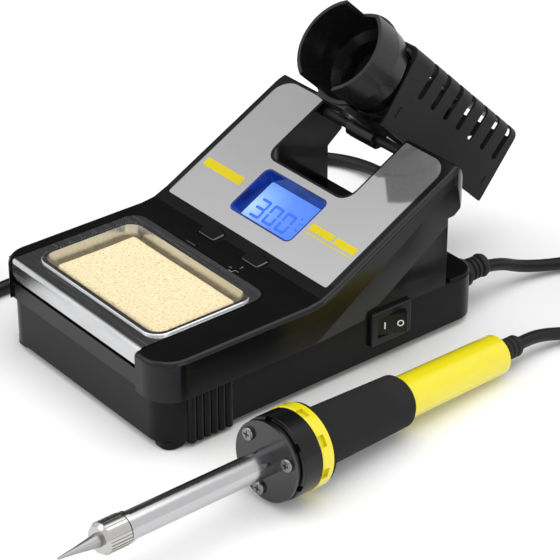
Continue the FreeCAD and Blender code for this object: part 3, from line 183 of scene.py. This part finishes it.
class Nodes:
    """Short hand for building one material's node tree."""

    def __init__(self, name):
        self.material = bpy.data.materials.new(name)
        self.material.use_nodes = True
        self.tree = self.material.node_tree
        self.tree.nodes.clear()
        self.output = self.add("ShaderNodeOutputMaterial")
        self.shader = self.add("ShaderNodeBsdfPrincipled")
        self.join(self.shader.outputs[0], self.output.inputs[0])
        self.place = self.add("ShaderNodeTexCoord").outputs["Object"]

    def add(self, kind, **values):
        node = self.tree.nodes.new(kind)
        for key, value in values.items():
            setattr(node, key, value)
        return node

    def join(self, a, b):
        self.tree.links.new(a, b)

    def set(self, **values):
        for key, value in values.items():
            socket = self.shader.inputs[key.replace("_", " ")]
            socket.default_value = (*value, 1) if hasattr(value, "__len__") else value

    def scaled(self, scale, rotation=(0, 0, 0)):
        node = self.add("ShaderNodeMapping")
        node.inputs["Scale"].default_value = scale
        node.inputs["Rotation"].default_value = rotation
        self.join(self.place, node.inputs["Vector"])
        return node.outputs[0]

    def noise(self, scale, detail=3.0, rough=0.5, vector=None, distortion=0.0):
        node = self.add("ShaderNodeTexNoise")
        node.inputs["Scale"].default_value = scale
        node.inputs["Detail"].default_value = detail
        node.inputs["Roughness"].default_value = rough
        node.inputs["Distortion"].default_value = distortion
        self.join(vector or self.place, node.inputs["Vector"])
        return node.outputs["Fac"]

    def cells(self, scale):
        node = self.add("ShaderNodeTexVoronoi")
        node.inputs["Scale"].default_value = scale
        self.join(self.place, node.inputs["Vector"])
        return node.outputs["Distance"]

    def ramp(self, value, *stops):
        node = self.add("ShaderNodeValToRGB")
        ramp = node.color_ramp
        while len(ramp.elements) < len(stops):
            ramp.elements.new(0.5)
        for element, (place, colour) in zip(ramp.elements, stops):
            element.position = place
            grey = not hasattr(colour, "__len__")
            element.color = (colour,) * 3 + (1,) if grey else (*colour, 1)
        self.join(value, node.inputs[0])
        return node.outputs[0]

    def rough(self, value, low, high):
        node = self.add("ShaderNodeMapRange")
        node.inputs["From Min"].default_value, node.inputs["From Max"].default_value = 0.3, 0.7
        node.inputs["To Min"].default_value, node.inputs["To Max"].default_value = low, high
        self.join(value, node.inputs["Value"])
        self.join(node.outputs[0], self.shader.inputs["Roughness"])

    def bump(self, value, strength, distance, before=None):
        node = self.add("ShaderNodeBump")
        node.inputs["Strength"].default_value = strength
        node.inputs["Distance"].default_value = distance
        self.join(value, node.inputs["Height"])
        if before is not None:
            self.join(before, node.inputs["Normal"])
        self.join(node.outputs[0], self.shader.inputs["Normal"])
        return node.outputs[0]

    def tint(self, colour_socket):
        self.join(colour_socket, self.shader.inputs["Base Color"])


def moulded(name, colour, rough, grain, grain_depth, coat=0.0, spread=0.06, drift=0.08,
            shine=0.2):
    """Moulded plastic or rubber: slight drift of colour and gloss, and a fine grain."""
    m = Nodes(name)
    cloud = m.noise(35.0, 4.0)
    low = tuple(c * (1 - drift) for c in colour)
    high = tuple(c * (1 + drift) for c in colour)
    m.tint(m.ramp(cloud, (0.3, low), (0.7, high)))
    m.rough(m.noise(140.0, 5.0, 0.6), rough - spread / 2, rough + spread / 2)
    m.bump(m.noise(grain, 2.0), 0.35, grain_depth)
    m.set(Coat_Weight=coat, Coat_Roughness=0.05, Specular_IOR_Level=shine)
    return m.material


def metal(name, colour, rough, spread, grain=(60, 60, 60), turn=(0, 0, 0)):
    """Metal with a drawn or turned grain, which runs along the axis of the lowest scale."""
    m = Nodes(name)
    lines = m.noise(40.0, 5.0, 0.65, m.scaled(grain, turn))
    low = tuple(c * 0.86 for c in colour)
    m.tint(m.ramp(lines, (0.25, low), (0.75, colour)))
    m.rough(lines, rough - spread / 2, rough + spread / 2)
    m.bump(lines, 0.3, 4e-6)
    m.set(Metallic=1.0)
    return m.material


BLACK_GLOSS = moulded("black_gloss", (0.004, 0.004, 0.0045), 0.19, 1400, 3e-6, coat=0.1,
                      shine=0.24)
KEY_BLACK = moulded("key_black", (0.006, 0.006, 0.0065), 0.17, 1400, 3e-6, coat=0.7, shine=0.6)
BLACK_SATIN = moulded("black_satin", (0.007, 0.007, 0.0075), 0.3, 2600, 8e-6, shine=0.3)
HOUSING_LOW = moulded("housing_low", (0.004, 0.004, 0.0043), 0.22, 1600, 4e-6, shine=0.14)
FUNNEL = moulded("funnel_black", (0.006, 0.006, 0.0064), 0.27, 1900, 6e-6, shine=0.35)
RUBBER = moulded("rubber_black", (0.017, 0.017, 0.017), 0.55, 3000, 2e-5)
CAGE = moulded("cage_black", (0.011, 0.011, 0.0115), 0.42, 5200, 2.2e-5, drift=0.15)
FOAM = moulded("grip_foam", (0.014, 0.014, 0.0145), 0.85, 3600, 1.1e-4, spread=0.1, drift=0.2)
CORD = moulded("cord_black", (0.012, 0.012, 0.012), 0.36, 900, 1.5e-5)
TIE = moulded("tie_black", (0.02, 0.02, 0.02), 0.45, 900, 1e-5)
PLUG = moulded("plug_black", (0.014, 0.014, 0.014), 0.4, 2200, 1.5e-5)
YELLOW = moulded("yellow_gloss", (0.76, 0.66, 0.008), 0.17, 900, 4e-6, coat=0.7, drift=0.03,
                 shine=0.5)
BOARD = moulded("board_green", (0.01, 0.12, 0.04), 0.35, 700, 8e-6, drift=0.2)
WHITE_CERAMIC = moulded("ceramic_white", (0.8, 0.79, 0.75), 0.5, 1500, 1e-5)
CAP_YELLOW = moulded("capacitor_yellow", (0.7, 0.45, 0.02), 0.3, 1200, 6e-6)
GREY_PLASTIC = moulded("terminal_grey", (0.22, 0.23, 0.24), 0.45, 1500, 1e-5)
STEEL_ZINC = metal("zinc_steel", (0.62, 0.62, 0.6), 0.3, 0.12)
SCREW_DARK = metal("screw_chrome", (0.26, 0.26, 0.26), 0.18, 0.1)
BARREL = metal("stainless_bright", (0.56, 0.56, 0.57), 0.17, 0.1, (300, 14, 300), (0, 0, 0.086))
DISC = metal("stainless_disc", (0.085, 0.085, 0.088), 0.2, 0.1, (90, 90, 90))
TIP = metal("tip_plating", (0.38, 0.38, 0.375), 0.42, 0.12, (200, 30, 200))
NUT = metal("nickel_knurled", (0.56, 0.55, 0.535), 0.17, 0.1)
BRASS = metal("brass", (0.7, 0.55, 0.28), 0.3, 0.1)
ALUMINIUM = metal("aluminium", (0.7, 0.7, 0.71), 0.35, 0.1)
PIN = metal("nickel_pins", (0.7, 0.69, 0.65), 0.22, 0.1)


def make_silver():
    """Glossy silver-grey film: metallic flake under a clear coat."""
    m = Nodes("silver_gloss")
    flake = m.noise(9000.0, 1.0)
    cloud = m.noise(14.0, 3.0)
    m.tint(m.ramp(cloud, (0.3, (0.66, 0.66, 0.668)), (0.7, (0.72, 0.72, 0.725))))
    m.rough(flake, 0.05, 0.09)
    m.bump(flake, 0.06, 1e-6)
    m.set(Metallic=0.85, Coat_Weight=0.3, Coat_Roughness=0.03)
    return m.material


def make_stainless():
    """Pressed stainless sheet with drawn streaks along the tray."""
    m = Nodes("stainless")
    streaks = m.noise(60.0, 6.0, 0.7, m.scaled((0.5, 14.0, 6.0)))
    waves = m.noise(45.0, 2.0, 0.5, m.scaled((1.0, 2.2, 1.0)), distortion=0.6)
    m.tint(m.ramp(streaks, (0.3, (0.52, 0.525, 0.54)), (0.7, (0.70, 0.705, 0.72))))
    m.rough(streaks, 0.12, 0.3)
    first = m.bump(streaks, 0.35, 1.5e-5)
    m.bump(waves, 0.4, 1.2e-4, first)
    m.set(Metallic=1.0)
    return m.material


def make_sponge():
    """Dry cellulose sponge: pale yellow with tan specks, pores and a soft nap."""
    m = Nodes("sponge_yellow")
    specks = m.noise(900.0, 4.0, 0.75)
    m.tint(m.ramp(specks, (0.30, (0.52, 0.32, 0.10)), (0.40, (0.74, 0.57, 0.29)),
                  (0.50, (0.82, 0.70, 0.44)), (0.66, (0.87, 0.80, 0.60))))
    first = m.bump(m.cells(1100.0), 0.25, 9e-5)
    m.bump(m.noise(2000.0, 3.0, 0.7), 0.3, 7e-5, first)
    m.set(Roughness=0.95, Specular_IOR_Level=0.1, Sheen_Weight=0.1)
    return m.material


def glowing(name, base, glow, power):
    """Plastic that gives off light of one colour."""
    m = Nodes(name)
    m.tint(m.ramp(m.noise(60.0, 2.0), (0.3, tuple(c * 0.9 for c in base)), (0.7, base)))
    m.set(Emission_Color=glow, Emission_Strength=power, Roughness=0.25)
    return m.material


def make_lcd():
    """Backlit display face: light blue with a paler patch where the lamp sits."""
    m = Nodes("lcd_blue")
    spot = m.add("ShaderNodeVectorMath", operation="DISTANCE")
    spot.inputs[1].default_value = at(-16.4, 97.7, 46.0)
    m.join(m.place, spot.inputs[0])
    fall = m.ramp(spot.outputs["Value"], (0.0, (0.62, 0.90, 1.0)), (0.009, (0.28, 0.52, 1.0)),
                  (0.018, (0.13, 0.31, 0.98)), (0.034, (0.09, 0.25, 0.9)))
    m.join(fall, m.shader.inputs["Emission Color"])
    m.tint(m.ramp(m.noise(400.0, 2.0), (0.3, (0.02, 0.05, 0.2)), (0.7, (0.03, 0.07, 0.25))))
    m.set(Emission_Strength=0.8, Roughness=0.12, Specular_IOR_Level=0.2)
    return m.material


def make_guide():
    """Blue light guide round the display, its glow varying in cloudy patches."""
    m = Nodes("blue_lightguide")
    cloud = m.noise(55.0, 3.0, 0.5, m.scaled((1.0, 1.0, 3.0)))
    glow = m.ramp(cloud, (0.3, (0.0, 0.005, 0.05)), (0.7, (0.0005, 0.03, 0.27)))
    m.join(glow, m.shader.inputs["Emission Color"])
    m.tint(m.ramp(cloud, (0.3, (0.0, 0.004, 0.06)), (0.7, (0.0, 0.01, 0.16))))
    m.set(Emission_Strength=0.8, Roughness=0.15, Coat_Weight=0.4)
    return m.material


SILVER, STAINLESS, SPONGE = make_silver(), make_stainless(), make_sponge()
LCD, GUIDE = make_lcd(), make_guide()
BACKLIGHT = glowing("backlight_blue", (0.3, 0.5, 0.9), (0.2, 0.45, 1.0), 0.8)
DIGIT = glowing("digit_blue", (0.01, 0.05, 0.25), (0.04, 0.15, 0.76), 0.85)
MARK_WHITE = moulded("mark_white", (0.82, 0.82, 0.8), 0.4, 900, 3e-6)
# pale grey of the painted highlights round the minus and plus keys
HIGHLIGHT_GREY = moulded("painted_highlight_grey", (0.3, 0.3, 0.3), 0.35, 900, 3e-6)
MARK_YELLOW = moulded("mark_yellow", (0.62, 0.50, 0.01), 0.3, 900, 3e-6, drift=0.05)
FUSE_GLASS = moulded("fuse_glass", (0.55, 0.6, 0.62), 0.08, 500, 2e-6, shine=0.5)

FINISHES = {
    "upper_housing": BLACK_GLOSS, "lower_housing": HOUSING_LOW, "rubber_feet": RUBBER,
    "housing_screws": STEEL_ZINC, "front_panel": SILVER, "display_frame": GUIDE,
    "lcd_glass": LCD, "lcd_backlight": BACKLIGHT, "display_board": BOARD,
    "sponge_tray": STAINLESS, "minus_key": KEY_BLACK, "plus_key": KEY_BLACK,
    "key_board": BOARD, "tact_switches": BLACK_SATIN, "switch_body": BLACK_SATIN,
    "switch_terminals": BRASS, "switch_rocker": BLACK_SATIN, "holder_funnel": FUNNEL,
    "holder_cage": CAGE, "holder_front_plate": CAGE, "holder_rear_plate": CAGE,
    "holder_base": BLACK_SATIN, "holder_crossbar": CAGE, "holder_screws": STEEL_ZINC,
    "soldering_tip": TIP, "heater_barrel": BARREL, "heating_element": WHITE_CERAMIC,
    "tip_nut": NUT, "guard_disc": DISC, "guard_screws": SCREW_DARK,
    "guard_ring": BLACK_GLOSS, "handle": YELLOW, "grip_sleeve": FOAM,
    "iron_strain_relief": RUBBER, "iron_lead_stub": CORD, "main_board": BOARD,
    "board_screws": STEEL_ZINC, "heat_sink": ALUMINIUM, "triac": BLACK_SATIN,
    "filter_capacitor": CAP_YELLOW, "fuse": FUSE_GLASS, "terminal_block": GREY_PLASTIC,
    "ribbon_cable": GREY_PLASTIC, "lead_gland": RUBBER, "mains_gland": RUBBER,
    "cord_clamps": BLACK_SATIN, "lead_tie": TIE, "mains_tie": TIE, "mains_plug": PLUG,
    "plug_pins": PIN,
}
for node, material in FINISHES.items():
    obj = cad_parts[node]
    if not obj.material_slots:
        obj.data.materials.append(material)
    for slot in obj.material_slots:
        slot.material = material
lead.data.materials.append(CORD)
mains.data.materials.append(CORD)


# ---------------------------------------------------------------- details on the panel

DECK_Z, SLOPE_Y, SLOPE = 40.4, 76.0, math.radians(27.6)
PANEL = Matrix.Translation(at(0, SLOPE_Y, DECK_Z)) @ Matrix.Rotation(SLOPE, 4, "X")
PRINT_LOW, PRINT_HIGH = 0.29, 0.34             # the plate's face is at 0.30 in this frame


def prism(name, outline, low, high, frame_matrix, material, body="root"):
    """Flat raised shape: an outline in mm extruded between two heights of a frame."""
    n = len(outline)
    verts = [frame_matrix @ (Vector((x, y, h)) / 1000) for h in (low, high) for x, y in outline]
    faces = [tuple(reversed(range(n))), tuple(range(n, 2 * n))]
    faces += [(i, (i + 1) % n, n + (i + 1) % n, n + i) for i in range(n)]
    obj = mesh_object(name, verts, faces, material)
    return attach(obj, body)


def joined(name, parts):
    """Several pieces made one object."""
    with bpy.context.temp_override(active_object=parts[0], selected_editable_objects=parts,
                                   object=parts[0], selected_objects=parts):
        bpy.ops.object.join()
    parts[0].name = name
    return parts[0]


def bar(name, x0, x1, v0, v1):
    """Yellow bar printed on the panel."""
    return prism(name, [(x0, v0), (x1, v0), (x1, v1), (x0, v1)], PRINT_LOW, PRINT_HIGH,
                 PANEL, MARK_YELLOW)


bar("panel_bar_left", -49.2, -24.2, 24.0, 28.2)
joined("panel_mark_right", [
    bar("mark_a", 21.8, 35.6, 23.0, 26.4),
    bar("mark_b", 37.0, 49.6, 23.0, 26.4),
    bar("mark_c", 21.8, 49.6, 21.2, 21.7)])


def ring_faces(n, underside):
    """Faces of a flat ring on four loops of n vertices: two below, then the same two above."""
    faces = []
    for i in range(n):
        j = (i + 1) % n
        faces.append((2 * n + i, 2 * n + j, 3 * n + j, 3 * n + i))
        if underside:
            faces.append((j, i, n + i, n + j))
        faces += [(i, j, 2 * n + j, 2 * n + i), (n + j, n + i, 3 * n + i, 3 * n + j)]
    return faces


HIGHLIGHT_LINE, HIGHLIGHT_RAISED = 0.3, 0.04             # width and height of the painted highlight lines round the key symbols


def painted_key_highlight(name, outline):
    """Pale line on the deck round a key's raised symbol, a painted highlight along the symbol's
    edge; the symbol hides part of it.
    """
    n = len(outline)
    mid = Vector((sum(p[0] for p in outline) / n, sum(p[1] for p in outline) / n))
    deck = at(0, 0, DECK_Z + 0.01)
    verts = []
    for h in (0.0, HIGHLIGHT_RAISED):
        for wide in (0.0, HIGHLIGHT_LINE):
            for x, y in outline:
                out = Vector((math.copysign(wide, x - mid.x), math.copysign(wide, y - mid.y)))
                verts.append(deck + Vector((x + out.x, y + out.y, h)) / 1000)
    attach(mesh_object(name, verts, ring_faces(n, underside=True), HIGHLIGHT_GREY), "root")


def cross(x, y, half, arm):
    """Outline of a plus sign."""
    corners = [(arm, half), (-arm, half), (-arm, arm), (-half, arm), (-half, -arm),
               (-arm, -arm), (-arm, -half), (arm, -half), (arm, -arm), (half, -arm),
               (half, arm), (arm, arm)]
    return [(x + a, y + b) for a, b in corners]


# painted highlights: pale outlines along the edges of the minus and plus keys
painted_key_highlight("minus_key_painted_highlight", [(-11.5, 66.2), (-16.9, 66.2), (-16.9, 64.6), (-11.5, 64.6)])
painted_key_highlight("plus_key_painted_highlight", cross(13.6, 65.8, 2.7, 0.8))

SEGMENTS = {"3": "abgcd", "0": "abcdef", "C": "afed"}
FACE, LEAN = -5.05, -0.05                      # display glass's face, and the digits' lean
DIGIT_X, DIGIT_V, DIGIT_PITCH = -13.8, 17.2, 8.15
DIGIT_SIZE, UNIT_SIZE = (6.3, 10.0, 1.35), (2.4, 4.2, 0.5)     # width, height, bar width
UNIT_AT, DEGREE_AT, DEGREE_R, DEGREE_SIDES = (11.4, 21.4), (10.4, 27.4), 0.6, 12


def segment(letter, x, v, size):
    """Outline of one bar of a seven-bar digit whose lower left corner is (x, v)."""
    w, h, t = size
    g, m = 0.12, h / 2
    flat = {"a": (g, w - g, h - t, h), "g": (g, w - g, m - t / 2, m + t / 2),
            "d": (g, w - g, 0, t)}
    tall = {"f": (0, m + g, h - g), "b": (w - t, m + g, h - g), "e": (0, g, m - g),
            "c": (w - t, g, m - g)}
    if letter in flat:
        x0, x1, y0, y1 = flat[letter]
        points = [(x0 + t / 2, y0), (x1 - t / 2, y0), (x1, (y0 + y1) / 2), (x1 - t / 2, y1),
                  (x0 + t / 2, y1), (x0, (y0 + y1) / 2)]
    else:
        x0, y0, y1 = tall[letter]
        points = [(x0 + t / 2, y0), (x0 + t, y0 + t / 2), (x0 + t, y1 - t / 2),
                  (x0 + t / 2, y1), (x0, y1 - t / 2), (x0, y0 + t / 2)]
    return [(x + px + LEAN * py, v + py) for px, py in points]


def digits():
    """The reading and its unit, as thin dark bars on the display's face."""
    parts = []

    def lay(name, outline):
        parts.append(prism(name, outline, FACE, FACE + 0.05, PANEL, DIGIT))

    for k, char in enumerate("300"):
        x = DIGIT_X + DIGIT_PITCH * k
        for letter in SEGMENTS[char]:
            lay(f"seg_{k}{letter}", segment(letter, x, DIGIT_V, DIGIT_SIZE))
    for letter in SEGMENTS["C"]:
        lay(f"seg_c{letter}", segment(letter, *UNIT_AT, UNIT_SIZE))
    angles = [2 * math.pi * i / DEGREE_SIDES for i in range(DEGREE_SIDES)]
    lay("seg_deg", [(DEGREE_AT[0] + DEGREE_R * math.cos(a), DEGREE_AT[1] + DEGREE_R * math.sin(a))
                    for a in angles])
    return joined("display_digits", parts)


digits()


# ---------------------------------------------------------------- rocker marks

ROCKER = Vector((54.0, 112.1, 17.1))           # rocker's axis at half its height
MARK_RAISED, CIRCLE = 0.06, 28


def rocker_marks():
    """White bar and ring on the two halves of the rocker."""
    def half_frame(p0, p1):
        a, b = (Vector((ROCKER.x + q[1], ROCKER.y + q[0], ROCKER.z)) for q in (p0, p1))
        along = (b - a).normalized()
        up = Vector((0, 0, 1))
        turn = Matrix((along, up, along.cross(up))).transposed().to_4x4()
        return Matrix.Translation(((a + b) / 2 + SHIFT) / 1000) @ turn

    front = half_frame((-6.8, 0.3), (0.3, 2.7))
    rear = half_frame((0.3, 2.7), (5.7, 5.2))
    prism("mark_on", [(-0.28, -1.6), (0.28, -1.6), (0.28, 1.6), (-0.28, 1.6)],
          0.0, MARK_RAISED, front, MARK_WHITE, "rocker")
    verts = []
    for h in (0.0, MARK_RAISED):
        for r in (1.45, 0.95):
            for i in range(CIRCLE):
                a = 2 * math.pi * i / CIRCLE
                verts.append(rear @ (Vector((r * math.cos(a), r * math.sin(a), h)) / 1000))
    faces = ring_faces(CIRCLE, underside=False)
    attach(mesh_object("mark_off", verts, faces, MARK_WHITE), "rocker")


rocker_marks()


# ---------------------------------------------------------------- sponge

NX, NY, SIDE_ROWS, CORNER = 60, 34, 5, 0.002   # sponge's mesh, and its corners' radius in m


def sponge():
    """Cut sponge: worn edges, an uneven top that dips a little, and sides that pull in."""
    low, high = (Vector(c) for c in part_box("cleaning_sponge"))
    size = high - low
    centre = Vector(((low.x + high.x) / 2, (low.y + high.y) / 2, 0))
    bm = bmesh.new()

    def height(u, v):
        swell = 0.35 * (abs(2 * u - 1) ** 6 + abs(2 * v - 1) ** 6)
        wave = 0.08 * math.sin(9 * u + 2.0) * math.sin(7 * v + 0.7)
        wave += 0.03 * math.sin(31 * u + 3 * v) * math.sin(23 * v + 4 * u)
        return (wave + 0.45 * swell) / 1000

    grid = {}
    for j in range(NY + 1):
        for i in range(NX + 1):
            u, v = i / NX, j / NY
            near = min(min(u, 1 - u) * size.x, min(v, 1 - v) * size.y)
            soft = 0.0007 * max(0.0, 1 - near / 0.0012) ** 2
            grid[i, j] = bm.verts.new((low.x + u * size.x, low.y + v * size.y,
                                       high.z - 0.0005 + height(u, v) - soft))
    for j in range(NY):
        for i in range(NX):
            bm.faces.new((grid[i, j], grid[i + 1, j], grid[i + 1, j + 1], grid[i, j + 1]))
    rim = ([grid[i, 0] for i in range(NX)] + [grid[NX, j] for j in range(NY)]
           + [grid[i, NY] for i in range(NX, 0, -1)] + [grid[0, j] for j in range(NY, 0, -1)])
    rows = [rim]
    for k in range(1, SIDE_ROWS + 1):
        z = high.z - (high.z - low.z) * k / SIDE_ROWS
        row = []
        for n, vert in enumerate(rim):
            pull = 0.00003 * math.sin(0.9 * n + 2.1 * k) + 0.00015 * (k in (2, 3))
            way = (Vector((vert.co.x, vert.co.y, 0)) - centre).normalized()
            row.append(bm.verts.new((vert.co.x - way.x * pull, vert.co.y - way.y * pull, z)))
        rows.append(row)
    count = len(rim)
    for a, b in zip(rows, rows[1:]):
        for n in range(count):
            m = (n + 1) % count
            bm.faces.new((a[m], a[n], b[n], b[m]))
    bm.faces.new(list(reversed(rows[-1])))
    for vert in bm.verts:
        dx = min(vert.co.x - low.x, high.x - vert.co.x)
        dy = min(vert.co.y - low.y, high.y - vert.co.y)
        reach = math.hypot(CORNER - dx, CORNER - dy)
        if dx < CORNER and dy < CORNER and reach > CORNER:
            keep = CORNER / reach
            vert.co.x += math.copysign(CORNER - dx, centre.x - vert.co.x) * (1 - keep)
            vert.co.y += math.copysign(CORNER - dy, centre.y - vert.co.y) * (1 - keep)
    mesh = bpy.data.meshes.new("sponge_pad")
    bm.normal_update()
    bm.to_mesh(mesh)
    bm.free()
    mesh.polygons.foreach_set("use_smooth", [True] * len(mesh.polygons))
    obj = link(bpy.data.objects.new("sponge_pad", mesh), SPONGE)
    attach(obj, "sponge")
    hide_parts("cleaning_sponge")


sponge()


# ---------------------------------------------------------------- studio

SKY, SHADE = 0.95, 0.06                        # sky's strength, and its darker patch's grey
SHADE_FROM, SHADE_TO = 0.68, 0.92              # cosines where that patch starts and is full


def studio():
    """Pale floor, soft white sky with a darker patch behind the object, and three lamps."""
    floor = mesh_object("floor", [(-3, -3, 0), (3, -3, 0), (3, 3, 0), (-3, 3, 0)], [(0, 1, 2, 3)])
    m = Nodes("floor_pale")
    m.tint(m.ramp(m.noise(3.0), (0.3, (0.92, 0.92, 0.92)), (0.7, (0.94, 0.94, 0.94))))
    m.set(Roughness=0.9, Specular_IOR_Level=0.0)
    floor.data.materials.append(m.material)
    floor.location.z = -0.0002
    world = bpy.data.worlds.new("studio")
    scene.world = world
    world.use_nodes = True
    back = world.node_tree.nodes["Background"]
    nodes, links = world.node_tree.nodes, world.node_tree.links
    way = nodes.new("ShaderNodeTexCoord").outputs["Generated"]
    aim = nodes.new("ShaderNodeVectorMath")
    aim.operation = "DOT_PRODUCT"
    aim.inputs[1].default_value = Vector((-0.67, 0.54, 0.5)).normalized()
    shade = nodes.new("ShaderNodeValToRGB")
    shade.color_ramp.interpolation = "EASE"
    start, full = shade.color_ramp.elements
    start.position, full.position = SHADE_FROM, SHADE_TO
    start.color, full.color = (1, 1, 1, 1), (SHADE, SHADE, SHADE, 1)
    links.new(way, aim.inputs[0])
    links.new(aim.outputs["Value"], shade.inputs[0])
    links.new(shade.outputs[0], back.inputs[0])
    back.inputs[1].default_value = SKY

    def lamp(name, place, target, wide, tall, power):
        data = bpy.data.lights.new(name, "AREA")
        data.shape = "RECTANGLE"
        data.size, data.size_y, data.energy = wide, tall, power
        obj = bpy.data.objects.new(name, data)
        obj.location = place
        aim = Vector(target) - Vector(place)
        obj.rotation_euler = aim.to_track_quat("-Z", "Y").to_euler()
        scene.collection.objects.link(obj)

    lamp("overhead", (0.0, 0.3, 1.6), (0, 0, 0.03), 1.6, 1.6, 12)
    lamp("key", (-0.7, -1.2, 1.2), (0, 0, 0.03), 1.2, 1.2, 6)
    lamp("side", (1.5, 0.2, 0.7), (0, 0, 0.05), 0.6, 0.9, 3)


studio()

bpy.context.view_layer.update()
